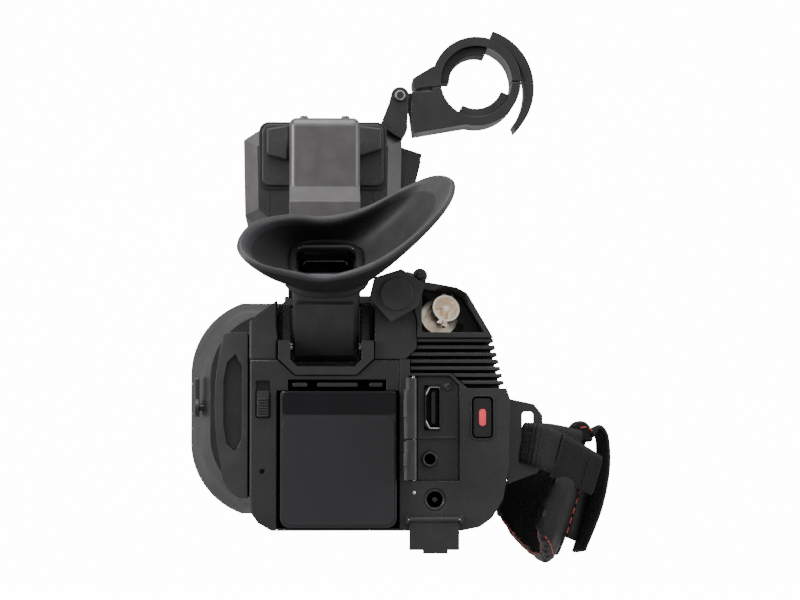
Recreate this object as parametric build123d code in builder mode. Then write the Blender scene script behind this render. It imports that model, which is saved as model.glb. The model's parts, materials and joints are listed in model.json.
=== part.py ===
from build123d import *
import math
import os

# A hand-held camcorder: body, lens, viewfinder, top handle, microphone holder and hand strap.
# Millimetres. +Z is up, +Y is the way the lens looks, +X is the grip side. The origin is the
# mouth of the tripod socket in the base. X = 0 is the plane of the lens axis.

os.makedirs("parts", exist_ok=True)

# Driving dimensions
REAR = -95.0            # Y of the rear face, behind the tripod socket
CASE_LENGTH = 114.0     # rear face to the end of the side cases
GRIP_LENGTH = 150.0     # rear face to the front of the grip
LENS_Z = 46.0           # height of the lens axis
LEFT_X = -26.6          # outer face of the left case
GRIP_X = 64.0           # outer face of the grip
WALL = 2.5              # thickness of the case walls
PANEL_DEPTH = 12.0      # thickness of the rear panel
DECK_Z = 84.0           # flat top of the body, under the handle
SEAM = 0.2              # gap between neighbouring case parts


def y_at(depth):
    """Y of the plane that lies this far in front of the rear face."""
    return REAR + depth


def rear_view(depth):
    """Sketch plane seen from behind: x is +X, y is +Z. Extruding goes backwards."""
    return Plane(origin=(0, y_at(depth), 0), x_dir=(1, 0, 0), z_dir=(0, -1, 0))


def side_view(x):
    """Sketch plane seen from the grip side: x is +Y, y is +Z. Extruding goes to +X."""
    return Plane(origin=(x, 0, 0), x_dir=(0, 1, 0), z_dir=(1, 0, 0))


def along_y(x, depth, z):
    """Location at a depth whose local Z points backwards, for round features along Y."""
    return Plane(origin=(x, y_at(depth), z), x_dir=(1, 0, 0), z_dir=(0, -1, 0))


def along_x(x, depth, z):
    """Location at a depth whose local Z points to +X, for round features along X."""
    return Plane(origin=(x, y_at(depth), z), x_dir=(0, 1, 0), z_dir=(1, 0, 0))


def export_piece(piece, name):
    """Label a finished piece and write it as its own STEP file."""
    piece.part.label = name
    export_step(piece.part, f"parts/{name}.step")


# ---------------------------------------------------------------- left case
LCD_AXIS_X = -32.0
LCD_AXIS_DEPTH = 108.0
LCD_PIN_R = 2.0
LCD_EAR_Z = (16.0, 60.2)
LCD_EAR_H = 4.0
HINGE_R = 5.0

left_wall = [
    (-17.1, 0), (-19.0, 0), (-23.5, 2.7), (-26.0, 6.2), (LEFT_X, 11.8), (LEFT_X, 72.6),
    (-24.0, 75.0), (-17.4, 79.8), (-17.4, 76.7), (-22.9, 72.7), (-24.1, 71.5),
    (-24.1, 12.0), (-23.7, 7.2), (-22.2, 4.8), (-18.3, WALL), (-17.1, WALL),
]
left_shoulder = [
    (LEFT_X, 59.6), (-16.9, 59.6), (-16.9, 80.1), (-24.0, 75.0), (LEFT_X, 72.6),
]

with BuildPart() as left_case:
    with BuildSketch(rear_view(CASE_LENGTH)):
        Polygon(*left_wall, align=None)
    extrude(amount=CASE_LENGTH - PANEL_DEPTH - SEAM)
    with BuildSketch(rear_view(PANEL_DEPTH)):
        Polygon(*left_shoulder, align=None)
    extrude(amount=PANEL_DEPTH - 1.0)
    with BuildSketch(rear_view(PANEL_DEPTH + 4)):
        Polygon(*left_shoulder, align=None)
    extrude(amount=4)
    for ear_z in LCD_EAR_Z:
        with BuildSketch(Plane.XY.offset(ear_z)):
            with Locations((LCD_AXIS_X, y_at(LCD_AXIS_DEPTH))):
                Circle(HINGE_R)
            with Locations(((LCD_AXIS_X + LEFT_X) / 2 + 1, y_at(LCD_AXIS_DEPTH))):
                Rectangle(LEFT_X - LCD_AXIS_X + 2, 2 * HINGE_R)
        extrude(amount=LCD_EAR_H)
    with Locations((LCD_AXIS_X, y_at(LCD_AXIS_DEPTH), 40)):
        Cylinder(LCD_PIN_R, 60, mode=Mode.SUBTRACT)
    rim = left_case.edges().filter_by(Axis.Z).group_by(Axis.Y)[0]
    chamfer(rim, 0.6)

export_piece(left_case, "left_case")

# ---------------------------------------------------------------- right case and grip
grip_outline = [
    (25.6, 0), (47.0, 0), (53.4, 1.3), (57.7, 4.4), (61.6, 11), (63.5, 22), (GRIP_X, 46),
    (62.4, 50.5), (58.4, 67), (25.6, 67),
]
hollow_side = [(46.8, WALL), (52.4, 3.7), (56.2, 6.4), (59.1, 12), (61.0, 22.4), (61.5, 45.8), (59.9, 50)]
rear_hollow = [(25.0, WALL)] + hollow_side + [(55.9, 67.5), (25.0, 67.5)]
front_hollow = [(28.1, WALL)] + hollow_side + [(56.6, 64.5), (28.1, 64.5)]
GRIP_FRONT_R = 5.0      # rounding of the grip's front end
# The frame line over the sockets: the heat sink lies above it.
frame_line = [(25, 59.5), (29.2, 59.5), (29.2, 54.6), (43.4, 54.6), (49.2, 49.4), (80, 49.4),
              (80, 80), (25, 80)]
GRIP_WALL = 9.0
SINK_DEPTH = 40.0
HOUSING_R = 40.0
HOUSING_DEPTH = 114.0 + SEAM

PORT_HINGE_X = 30.4
PORT_HINGE_DEPTH = 0.9
PORT_PIN_R = 0.5
PORT_Z = (17.3, 53.8)
PORT_RIGHT = 46.4
DC_HINGE_Z = 3.8
DC_HINGE_DEPTH = -1.3
REC_X, REC_Z = 54.45, 39.25

with BuildPart() as right_case:
    with BuildSketch(rear_view(GRIP_LENGTH)):
        Polygon(*grip_outline, align=None)
    extrude(amount=GRIP_LENGTH)
    long_edges = right_case.edges().filter_by(Axis.Y)
    fillet([edge for edge in long_edges if edge.center().X > 50 and edge.center().Z < 60], 4)
    front_rim = right_case.faces().sort_by(Axis.Y)[-1].edges()
    fillet([edge for edge in front_rim if edge.center().X > 27], GRIP_FRONT_R)
    with BuildSketch(rear_view(GRIP_LENGTH - WALL)):
        Polygon(*front_hollow, align=None)
    extrude(amount=GRIP_LENGTH - WALL - GRIP_WALL, mode=Mode.SUBTRACT)
    with BuildSketch(rear_view(CASE_LENGTH)):
        Polygon(*rear_hollow, align=None)
    extrude(amount=CASE_LENGTH - GRIP_WALL, mode=Mode.SUBTRACT)
    with BuildSketch(rear_view(SINK_DEPTH + 0.3)):
        Polygon(*frame_line, align=None)
    extrude(amount=SINK_DEPTH + 2, mode=Mode.SUBTRACT)
    # the lens housing passes through the grip's inner side
    with BuildSketch(rear_view(GRIP_LENGTH + 1)):
        with Locations((0, LENS_Z)):
            Circle(HOUSING_R + 0.4)
    extrude(amount=GRIP_LENGTH + 1 - CASE_LENGTH, mode=Mode.SUBTRACT)
    # socket recess, hinge groove and the window behind the socket panel
    with BuildSketch(rear_view(4.3)):
        Polygon((31.7, PORT_Z[0]), (PORT_RIGHT, PORT_Z[0]), (PORT_RIGHT, 50.4), (43.0, PORT_Z[1]),
                (31.7, PORT_Z[1]), align=None)
    extrude(amount=6, mode=Mode.SUBTRACT)
    with BuildSketch(rear_view(2.6)):
        with Locations((30.3, sum(PORT_Z) / 2)):
            Rectangle(3.2, PORT_Z[1] - PORT_Z[0])
    extrude(amount=6, mode=Mode.SUBTRACT)
    with BuildSketch(rear_view(GRIP_WALL + 1)):
        with Locations((37.5, 36)):
            RectangleRounded(11, 30, 2)
        with Locations((37.8, 10.8)):
            Circle(3.9)
    extrude(amount=12, mode=Mode.SUBTRACT)
    with Locations((PORT_HINGE_X, y_at(PORT_HINGE_DEPTH), (16.3 + 54.2) / 2)):
        Cylinder(PORT_PIN_R, 54.2 - 16.3, mode=Mode.SUBTRACT)
    # recess of the record button
    with BuildSketch(rear_view(5)):
        with Locations((REC_X, REC_Z)):
            RectangleRounded(8.1, 15.3, 2)
    extrude(amount=8, mode=Mode.SUBTRACT)
    # ears of the power socket's cover
    with BuildSketch(rear_view(0.5)):
        with Locations((28.1, DC_HINGE_Z), (47.0, DC_HINGE_Z)):
            Rectangle(1.0, 2.6)
    extrude(amount=3.1)
    with Locations(along_x(37.6, DC_HINGE_DEPTH, DC_HINGE_Z)):
        Cylinder(PORT_PIN_R, 22, mode=Mode.SUBTRACT)

export_piece(right_case, "right_case")

# ---------------------------------------------------------------- rear panel
panel_outline = [
    (-17.1, 0), (-18.8, 0), (-23.5, 2.7), (-25.9, 6.1), (-26.4, 11.8), (-26.4, 59.3),
    (-16.9, 59.3), (-10.9, 53.8), (10.9, 53.8), (16.9, 59.3), (25.4, 59.3), (25.4, 48.6),
    (21.0, 48.6), (21.0, 52.4), (-13.2, 52.4), (-13.2, 48.6), (-17.1, 48.6),
]
RELEASE_X = -21.8

with BuildPart() as rear_panel:
    with BuildSketch(rear_view(PANEL_DEPTH)):
        Polygon(*panel_outline, align=None)
    extrude(amount=PANEL_DEPTH)
    rear_rim = rear_panel.faces().sort_by(Axis.Y)[0].edges()
    outer_rim = [edge for edge in rear_rim if edge.center().X < -26 or edge.center().Z > 59]
    chamfer(outer_rim, 0.5)
    with BuildSketch(rear_view(3)):
        with Locations((RELEASE_X, 45.5)):
            RectangleRounded(5.2, 13, 0.8)
        with Locations((-22, 20.5)):
            Circle(0.9)
    extrude(amount=4, mode=Mode.SUBTRACT)

export_piece(rear_panel, "rear_panel")

# ---------------------------------------------------------------- top cover
right_shoulder = [
    (17.0, 59.6), (27.8, 59.6), (31.5, 63.2), (31.5, 73.0), (30.6, 76.0), (30.6, DECK_Z),
    (17.0, DECK_Z),
]
deck_rear = [(-17.3, 79.9), (-12, DECK_Z), (30.6, DECK_Z), (30.6, 81.2), (-11.0, 81.2), (-17.3, 76.7)]
deck_front = [
    (-17.3, 79.9), (-12, DECK_Z), (45.4, DECK_Z), (49.9, 81.0), (58.3, 67.2), (55.3, 67.2),
    (48.2, 79.0), (44.6, 81.2), (-11.0, 81.2), (-17.3, 76.7),
]
CRADLE_DEPTH = 46.0
CORNER_DEPTH = 60.5

with BuildPart() as top_cover:
    with BuildSketch(rear_view(CASE_LENGTH)):
        Polygon(*deck_front, align=None)
    extrude(amount=CASE_LENGTH - CORNER_DEPTH - SEAM)
    with BuildSketch(rear_view(CORNER_DEPTH + SEAM)):
        Polygon(*deck_rear, align=None)
    extrude(amount=CORNER_DEPTH - CRADLE_DEPTH)
    with BuildSketch(rear_view(CRADLE_DEPTH + SEAM)):
        Polygon(*right_shoulder, align=None)
    extrude(amount=CRADLE_DEPTH + SEAM - 1.0)
    shoulder_rim = top_cover.faces().sort_by(Axis.Y)[0].edges()
    fillet(shoulder_rim.sort_by(Axis.Z)[-1], 1.5)

export_piece(top_cover, "top_cover")

# ---------------------------------------------------------------- front cover, round the lens
BARREL_R = 34.0
HOUSING_FRONT = 165.0
FOOT_Z = 87.5

FLANGE_DEPTH = 117.6    # front of the flange that closes the body round the lens housing
flange_outline = [
    (-19.0, 0), (25.4, 0), (25.4, 67.2), (58.3, 67.2), (49.9, 81.0), (45.4, DECK_Z),
    (-12, DECK_Z), (-17.4, 79.8), (-24.0, 75.0), (LEFT_X, 72.6), (LEFT_X, 11.8), (-26.0, 6.2),
    (-23.5, 2.7),
]

with BuildPart() as front_cover:
    with BuildSketch(rear_view(HOUSING_FRONT)):
        with Locations((0, LENS_Z)):
            Circle(HOUSING_R)
        with Locations((0, (LENS_Z + FOOT_Z) / 2)):
            Rectangle(30, FOOT_Z - LENS_Z)
    extrude(amount=HOUSING_FRONT - FLANGE_DEPTH)
    housing_rim = front_cover.faces().sort_by(Axis.Y)[-1].edges()
    fillet([edge for edge in housing_rim if edge.geom_type == GeomType.CIRCLE], 2)
    with BuildSketch(rear_view(HOUSING_FRONT - 3)):
        with Locations((0, LENS_Z)):
            Circle(HOUSING_R - 3)
    extrude(amount=HOUSING_FRONT - 3 - HOUSING_DEPTH + 1, mode=Mode.SUBTRACT)
    with BuildSketch(rear_view(HOUSING_FRONT + 1)):
        with Locations((0, LENS_Z)):
            Circle(BARREL_R + 0.1)
    extrude(amount=6, mode=Mode.SUBTRACT)
    # the sole of the body under the housing is flat
    with Locations((0, y_at(140), 0)):
        Box(100, 60, 12, mode=Mode.SUBTRACT)
    with BuildSketch(rear_view(FLANGE_DEPTH)):
        Polygon(*flange_outline, align=None)
        with Locations((0, LENS_Z)):
            Circle(HOUSING_R - 3, mode=Mode.SUBTRACT)
    extrude(amount=FLANGE_DEPTH - HOUSING_DEPTH)

export_piece(front_cover, "front_cover")

# ---------------------------------------------------------------- base plate
SOCKET_R = 2.6
SOCKET_DEPTH = 6.0

with BuildPart() as base_plate:
    with BuildSketch(Plane.XY):
        with Locations(((25.4 - 16.9) / 2, y_at((0.3 + CASE_LENGTH) / 2))):
            Rectangle(25.4 + 16.9, CASE_LENGTH - 0.3)
    extrude(amount=0.8)
    with BuildSketch(Plane.XY):
        with Locations((4.25, y_at(94.5))):
            Rectangle(40, 36)
    extrude(amount=2.4)
    with BuildSketch(Plane.XY):
        Circle(9)
    extrude(amount=9)
    with BuildSketch(Plane.XY):
        Circle(SOCKET_R)
    extrude(amount=SOCKET_DEPTH, mode=Mode.SUBTRACT)
    with BuildSketch(Plane.XY):
        with Locations((0, 13.5)):
            SlotOverall(6, 3.6)
    extrude(amount=1.6, mode=Mode.SUBTRACT)

export_piece(base_plate, "base_plate")

# ---------------------------------------------------------------- battery bay, battery, terminal
BATTERY_X = (-15.8, 24.5)
BATTERY_Z = (1.1, 48.3)
BATTERY_BACK = -4.0
BAY_FRONT = 72.0
BATTERY_FRONT = 66.0


def centre(pair):
    """Middle of a pair of limits."""
    return (pair[0] + pair[1]) / 2


def span(pair):
    """Distance between a pair of limits."""
    return pair[1] - pair[0]


with BuildPart() as battery_bay:
    with BuildSketch(rear_view(BAY_FRONT)):
        Polygon((-18.6, 3.2), (27.1, 3.2), (27.1, 53.7), (-18.6, 53.7), align=None)
    extrude(amount=BAY_FRONT - PANEL_DEPTH - SEAM)
    with BuildSketch(rear_view(BAY_FRONT - 1.6)):
        Polygon((-17.1, 0), (25.5, 0), (25.5, 52.3), (-17.1, 52.3), align=None)
    extrude(amount=BAY_FRONT, mode=Mode.SUBTRACT)

export_piece(battery_bay, "battery_bay")

with BuildPart() as battery:
    with BuildSketch(rear_view(BATTERY_FRONT)):
        with Locations((centre(BATTERY_X), centre(BATTERY_Z))):
            Rectangle(span(BATTERY_X), span(BATTERY_Z))
    extrude(amount=BATTERY_FRONT - BATTERY_BACK)
    lengthwise = battery.edges().filter_by(Axis.Y).group_by(Axis.Z)
    fillet(lengthwise[0], 3.5)
    fillet(battery.edges().filter_by(Axis.Y).group_by(Axis.Z)[-1], 1.2)
    chamfer(battery.faces().sort_by(Axis.Y)[0].edges(), 0.5)
    # contact pockets in the front face
    with BuildSketch(rear_view(BATTERY_FRONT + 1)):
        with Locations((centre(BATTERY_X), 25)):
            with GridLocations(5, 0, 4, 1):
                Rectangle(2.4, 9)
    extrude(amount=6, mode=Mode.SUBTRACT)

export_piece(battery, "battery")

with BuildPart() as battery_terminal:
    with BuildSketch(rear_view(BAY_FRONT - 1.8)):
        with Locations((centre(BATTERY_X), 25)):
            Rectangle(24, 14)
    extrude(amount=2.2)
    with BuildSketch(rear_view(BAY_FRONT - 4)):
        with Locations((centre(BATTERY_X), 25)):
            with GridLocations(5, 0, 4, 1):
                Rectangle(0.8, 7)
    extrude(amount=4.5)

export_piece(battery_terminal, "battery_terminal")

with BuildPart() as battery_release:
    with BuildSketch(rear_view(2.6)):
        with Locations((RELEASE_X, 43.9)):
            RectangleRounded(4.2, 9.2, 0.6)
    extrude(amount=3.0)
    with BuildSketch(rear_view(0)):
        with Locations((RELEASE_X, 42.7)):
            with GridLocations(0, 0.95, 1, 7):
                Rectangle(3.6, 0.45)
    extrude(amount=0.8)

export_piece(battery_release, "battery_release")

# ---------------------------------------------------------------- inner frame, board, sensor, fan
with BuildPart() as main_chassis:
    with BuildSketch(rear_view(77)):
        Polygon((-23.6, 13), (-19, 3.6), (52, 4.0), (57.5, 13), (59, 44), (53.5, 65), (45, 77.5),
                (-13, 77.5), (-23.6, 70), align=None)
        with Locations((2, 44)):
            RectangleRounded(26, 26, 3, mode=Mode.SUBTRACT)
        with Locations((-17, 25), (44, 25), (40, 62), (-14, 66)):
            Circle(4, mode=Mode.SUBTRACT)
    extrude(amount=1.6)

export_piece(main_chassis, "main_chassis")

with BuildPart() as main_board:
    with BuildSketch(side_view(42.0)):
        with Locations((y_at(95), 40)):
            Rectangle(32, 62)
        with Locations((y_at(95), 40)):
            with GridLocations(27, 57, 2, 2):
                Circle(1.3, mode=Mode.SUBTRACT)
    extrude(amount=1.6)
    with BuildSketch(side_view(43.6)):
        with Locations((y_at(92), 52), (y_at(98), 30)):
            Rectangle(15, 15)
        with Locations((y_at(104), 54), (y_at(85), 26), (y_at(86), 36)):
            Rectangle(5, 8)
    extrude(amount=1.4)

export_piece(main_board, "main_board")

with BuildPart() as image_sensor:
    with BuildSketch(rear_view(96)):
        with Locations((0, LENS_Z)):
            RectangleRounded(30, 26, 2)
    extrude(amount=12)
    with BuildSketch(rear_view(97.5)):
        with Locations((0, LENS_Z)):
            Rectangle(16, 10)
    extrude(amount=1.5)

export_piece(image_sensor, "image_sensor")

sink_outline = [
    (29.5, 54.9), (43.6, 54.9), (49.4, 49.7), (62.4, 49.7), (58.2, 66.8), (31.8, 66.8),
    (31.8, 63.3), (29.5, 61.0),
]
FIN_PITCH = 2.45
FIN_GAP = 1.25

with BuildPart() as heat_sink:
    with BuildSketch(rear_view(SINK_DEPTH)):
        Polygon(*sink_outline, align=None)
    extrude(amount=SINK_DEPTH - 2)
    for groove in range(7):
        groove_z = 65.0 - groove * FIN_PITCH
        with Locations((46, y_at(13), groove_z)):
            Box(60, 26, FIN_GAP, mode=Mode.SUBTRACT)

export_piece(heat_sink, "heat_sink")

FAN_X, FAN_Z = 44.5, 57.0
with BuildPart() as fan_frame:
    with BuildSketch(rear_view(49)):
        with Locations((FAN_X, FAN_Z)):
            RectangleRounded(18, 18, 1.5)
            Circle(8.2, mode=Mode.SUBTRACT)
    extrude(amount=8)
    with BuildSketch(rear_view(49)):
        with Locations((FAN_X, FAN_Z)):
            Rectangle(17, 1.6)
            Circle(3)
    extrude(amount=1)
    with Locations(along_y(FAN_X, 46, FAN_Z)):
        Cylinder(0.8, 5)

export_piece(fan_frame, "fan_frame")

with BuildPart() as fan_rotor:
    with BuildSketch(rear_view(47.5)):
        with Locations((FAN_X, FAN_Z)):
            Circle(3.4)
        with Locations((FAN_X, FAN_Z)):
            with PolarLocations(5.3, 7):
                Rectangle(4.6, 1.0, rotation=25)
        with Locations((FAN_X, FAN_Z)):
            Circle(0.85, mode=Mode.SUBTRACT)
    extrude(amount=5)

export_piece(fan_rotor, "fan_rotor")

# ---------------------------------------------------------------- corner housing and BNC connector
corner_outline = [
    (31.8, 67.1), (31.8, 73), (30.9, 76), (30.9, 85.6), (35.4, 86.4), (45.4, 84.6),
    (48.9, 82.7), (49.9, 81.3), (58.2, 67.1),
]
corner_pocket = [(33.3, 68.9), (33.3, 84.0), (44.6, 82.8), (47.6, 81.2), (48.4, 80.2), (55.0, 68.9)]
TETHER_Z = 89.3
BNC_LEAN = 17.0         # degrees that the connector looks up
BNC_TURN = 13.0         # degrees that it looks towards the grip
bnc_axis = Vector(
    math.sin(math.radians(BNC_TURN)),
    -math.cos(math.radians(BNC_TURN)) * math.cos(math.radians(BNC_LEAN)),
    math.sin(math.radians(BNC_LEAN)),
)
BNC_CENTRE = Vector(39.7, y_at(10), 74.5)


def bnc_plane(distance):
    """Plane across the connector, this far out from its flange along its axis."""
    return Plane(origin=BNC_CENTRE + bnc_axis * distance, z_dir=bnc_axis)


with BuildPart() as corner_housing:
    with BuildSketch(rear_view(CORNER_DEPTH)):
        Polygon(*corner_outline, align=None)
    extrude(amount=CORNER_DEPTH)
    with BuildSketch(rear_view(13)):
        Polygon(*corner_pocket, align=None)
    extrude(amount=14, mode=Mode.SUBTRACT)
    with BuildSketch(rear_view(CORNER_DEPTH + 1)):
        Polygon((33.5, 69), (33.5, 83), (44, 81.5), (47.5, 80), (54, 69), align=None)
    extrude(amount=CORNER_DEPTH - 24, mode=Mode.SUBTRACT)
    with BuildSketch(bnc_plane(-12)):
        Circle(9.6)
    extrude(amount=10.4)
    with BuildSketch(bnc_plane(-13)):
        Circle(4.2)
    extrude(amount=16, mode=Mode.SUBTRACT)
    with BuildSketch(bnc_plane(-1.6)):
        Circle(7.1)
    extrude(amount=16, mode=Mode.SUBTRACT)
    with BuildSketch(rear_view(70)):
        Polygon((20, 50), (70, 50), (58.3, 67.1), (20, 67.1), align=None)
    extrude(amount=80, mode=Mode.SUBTRACT)
    with BuildSketch(rear_view(70)):
        Polygon((20, 66), (31.8, 66), (31.8, 73), (30.9, 76), (30.9, 90), (20, 90), align=None)
    extrude(amount=80, mode=Mode.SUBTRACT)
    # post that the rubber cap's tether turns on
    with BuildSketch(rear_view(17)):
        with Locations((33.2, 87.8)):
            Rectangle(4.4, 6.4)
    extrude(amount=3)
    with BuildSketch(rear_view(14)):
        with Locations((33.2, TETHER_Z)):
            Circle(1.2)
    extrude(amount=4.5)

export_piece(corner_housing, "corner_housing")

with BuildPart() as bnc_connector:
    with BuildSketch(bnc_plane(-10)):
        Circle(4.1)
    extrude(amount=10)
    with BuildSketch(bnc_plane(-1.5)):
        Circle(6.65)
    extrude(amount=2.2)
    with BuildSketch(bnc_plane(0)):
        Circle(4.85)
    extrude(amount=9.6)
    with BuildSketch(bnc_plane(2)):
        Circle(4.1)
        Circle(1.1, mode=Mode.SUBTRACT)
    extrude(amount=9, mode=Mode.SUBTRACT)
    with BuildSketch(bnc_plane(6)):
        with PolarLocations(5.2, 2):
            Circle(0.9)
    extrude(amount=1.8)

export_piece(bnc_connector, "bnc_connector")

with BuildPart() as sdi_cap:
    with BuildSketch(rear_view(-1.2)):
        Polygon((26.0, 90.6), (34.2, 85.2), (31.6, 77.4), (22.6, 72.2), (14.9, 80.4), (16.6, 87.6),
                align=None)
    extrude(amount=4.8)
    with BuildSketch(rear_view(-6)):
        with Locations((24.4, 81.8)):
            Circle(5.6)
    extrude(amount=0.8)
    # tether back to the post
    with BuildSketch(rear_view(13.6)):
        with Locations((33.2, TETHER_Z)):
            Circle(2.6)
            Circle(1.35, mode=Mode.SUBTRACT)
    extrude(amount=1.8)
    with BuildSketch(Plane.XY.offset(TETHER_Z - 0.6)):
        Polygon((30.7, y_at(13)), (31.8, y_at(13)), (28.6, y_at(-1.3)), (25.4, y_at(-1.3)),
                align=None)
    extrude(amount=1.2)

export_piece(sdi_cap, "sdi_cap")

# ---------------------------------------------------------------- socket panel and covers
HDMI_X, HDMI_Z = 37.2, 42.7
PHONES_X, PHONES_Z = 36.1, 24.8
DC_X, DC_Z = 37.8, 10.8

with BuildPart() as port_panel:
    with BuildSketch(rear_view(4.2)):
        with Locations(((31.9 + PORT_RIGHT) / 2, centre(PORT_Z))):
            Rectangle(PORT_RIGHT - 32.1, span(PORT_Z) - 0.2)
        Polygon((42.7, 54), (47, 54), (47, 50), (46.5, 50), align=None, mode=Mode.SUBTRACT)
        with Locations((HDMI_X, HDMI_Z)):
            Rectangle(5.8, 15.5, mode=Mode.SUBTRACT)
        with Locations((PHONES_X, PHONES_Z)):
            Circle(2.75, mode=Mode.SUBTRACT)
    extrude(amount=2.0)
    with BuildSketch(rear_view(2.2)):
        with Locations((38.8, 32.2)):
            Rectangle(12.6, 0.7)
        with Locations((42.4, 50.2)):
            Circle(1.5)
    extrude(amount=0.6)

export_piece(port_panel, "port_panel")

hdmi_shape = [(-2.8, -6.2), (-1.2, -7.65), (2.8, -7.65), (2.8, 7.65), (-1.2, 7.65), (-2.8, 6.2)]

with BuildPart() as hdmi_connector:
    with BuildSketch(rear_view(13)):
        with Locations((HDMI_X, HDMI_Z)):
            Polygon(*hdmi_shape, align=None)
    extrude(amount=12.1)
    with BuildSketch(rear_view(11)):
        with Locations((HDMI_X, HDMI_Z)):
            Polygon(*hdmi_shape, align=None)
            offset(amount=-0.45)
    extrude(amount=12, mode=Mode.SUBTRACT)
    with BuildSketch(rear_view(11)):
        with Locations((HDMI_X + 0.3, HDMI_Z)):
            Rectangle(1.2, 11.5)
    extrude(amount=8.5)

export_piece(hdmi_connector, "hdmi_connector")


with BuildPart() as headphone_jack:
    with BuildSketch(rear_view(16)):
        with Locations((PHONES_X, PHONES_Z)):
            Circle(2.65)
    extrude(amount=14.6)
    with BuildSketch(rear_view(15)):
        with Locations((PHONES_X, PHONES_Z)):
            Circle(1.8)
    extrude(amount=16, mode=Mode.SUBTRACT)

export_piece(headphone_jack, "headphone_jack")

with BuildPart() as dc_jack:
    with BuildSketch(rear_view(12)):
        with Locations((DC_X, DC_Z)):
            Circle(3.8)
    extrude(amount=11.6)
    with BuildSketch(rear_view(10.5)):
        with Locations((DC_X, DC_Z)):
            Circle(2.75)
            Circle(0.85, mode=Mode.SUBTRACT)
    extrude(amount=12, mode=Mode.SUBTRACT)

export_piece(dc_jack, "dc_jack")

COVER_OPEN = -100.0     # degrees that the socket covers stand away from closed
COVER_LENGTH = 14.6
COVER_STEP = 5.0        # length of the free end that is lower at its corner
cover_heading = Vector(math.cos(math.radians(COVER_OPEN)), math.sin(math.radians(COVER_OPEN)), 0)


def cover_plane(z):
    """Sketch plane at a height, with x along the open cover and y through its thickness."""
    origin = (PORT_HINGE_X, y_at(PORT_HINGE_DEPTH), z)
    return Plane(origin=origin, x_dir=cover_heading, z_dir=(0, 0, 1))


def make_port_cover(low, high, corner):
    """Rubber-faced cover on the vertical pin, standing open. corner is cut off its free end."""
    with BuildPart() as cover:
        with BuildSketch(cover_plane(low)):
            Circle(1.25)
            with Locations(((COVER_LENGTH - COVER_STEP) / 2, -0.7)):
                Rectangle(COVER_LENGTH - COVER_STEP, 1.1)
            Circle(PORT_PIN_R + 0.06, mode=Mode.SUBTRACT)
        extrude(amount=high - low)
        with BuildSketch(cover_plane(low)):
            with Locations((COVER_LENGTH - COVER_STEP / 2, -0.7)):
                Rectangle(COVER_STEP, 1.1)
        extrude(amount=high - low - corner)
        with BuildSketch(cover_plane(low + 0.35 * (high - low))):
            with Locations((COVER_LENGTH + 0.4, -0.7)):
                Rectangle(1.2, 1.1)
        extrude(amount=0.3 * (high - low))
    return cover


port_cover_hdmi = make_port_cover(31.8, 52.9, 4.2)
port_cover_phones = make_port_cover(17.6, 31.5, 0.6)
export_piece(port_cover_hdmi, "port_cover_hdmi")
export_piece(port_cover_phones, "port_cover_phones")

with BuildPart() as dc_cover:
    with BuildSketch(side_view(28.9)):
        with Locations((y_at(DC_HINGE_DEPTH), DC_HINGE_Z)):
            Circle(1.2)
        with Locations((y_at(DC_HINGE_DEPTH), -1.4)):
            Rectangle(1.4, 10.4)
        with Locations((y_at(DC_HINGE_DEPTH), DC_HINGE_Z)):
            Circle(PORT_PIN_R + 0.06, mode=Mode.SUBTRACT)
    extrude(amount=17.3)
    with BuildSketch(rear_view(DC_HINGE_DEPTH + 0.7)):
        with Locations((37.9, -7.1)):
            Rectangle(8.6, 1.4)
    extrude(amount=1.4)

export_piece(dc_cover, "dc_cover")

with BuildPart() as rec_button:
    with BuildSketch(rear_view(4)):
        with Locations((REC_X, REC_Z)):
            RectangleRounded(6.7, 13.9, 1.4)
    extrude(amount=3.6)
    fillet(rec_button.faces().sort_by(Axis.Y)[0].edges(), 0.5)

export_piece(rec_button, "rec_button")

# ---------------------------------------------------------------- lens barrel and rings
RING_R = 38.5
FOCUS_DEPTH = (167.0, 184.0)
ZOOM_DEPTH = (186.0, 202.0)
BARREL_FRONT = 206.0


def lens_plane(depth):
    """Sketch plane on the lens axis, seen from behind."""
    return Plane(origin=(0, y_at(depth), LENS_Z), x_dir=(1, 0, 0), z_dir=(0, -1, 0))


with BuildPart() as lens_barrel:
    with BuildSketch(lens_plane(BARREL_FRONT)):
        Circle(BARREL_R)
    extrude(amount=BARREL_FRONT - 118)
    with BuildSketch(lens_plane(118)):
        Circle(21)
    extrude(amount=20)
    with BuildSketch(lens_plane(BARREL_FRONT)):
        Circle(RING_R - 0.5)
    extrude(amount=3)
    with BuildSketch(lens_plane(BARREL_FRONT + 1)):
        Circle(31)
    extrude(amount=10, mode=Mode.SUBTRACT)
    with BuildSketch(lens_plane(BARREL_FRONT)):
        Circle(26.5)
    extrude(amount=BARREL_FRONT - 125, mode=Mode.SUBTRACT)
    with BuildSketch(lens_plane(130)):
        Circle(12)
    extrude(amount=40, mode=Mode.SUBTRACT)

export_piece(lens_barrel, "lens_barrel")

with BuildPart() as front_lens:
    with BuildSketch(lens_plane(192)):
        Circle(26.2)
    extrude(amount=4)
    fillet(front_lens.edges().group_by(Axis.Y)[-1], 2.5)

export_piece(front_lens, "front_lens")


def make_ring(limits, grooves):
    """Ribbed control ring between two depths; the ribs are its grip."""
    with BuildPart() as ring:
        with BuildSketch(lens_plane(limits[1])):
            Circle(RING_R)
            Circle(BARREL_R + 0.3, mode=Mode.SUBTRACT)
        extrude(amount=limits[1] - limits[0])
        chamfer(ring.edges().filter_by(GeomType.CIRCLE).sort_by(SortBy.RADIUS)[-2:], 0.8)
        with BuildSketch(lens_plane(limits[1] - 3)):
            with PolarLocations(RING_R + 0.2, grooves):
                Rectangle(1.6, 1.3)
        extrude(amount=limits[1] - limits[0] - 6, mode=Mode.SUBTRACT)
    return ring


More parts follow.
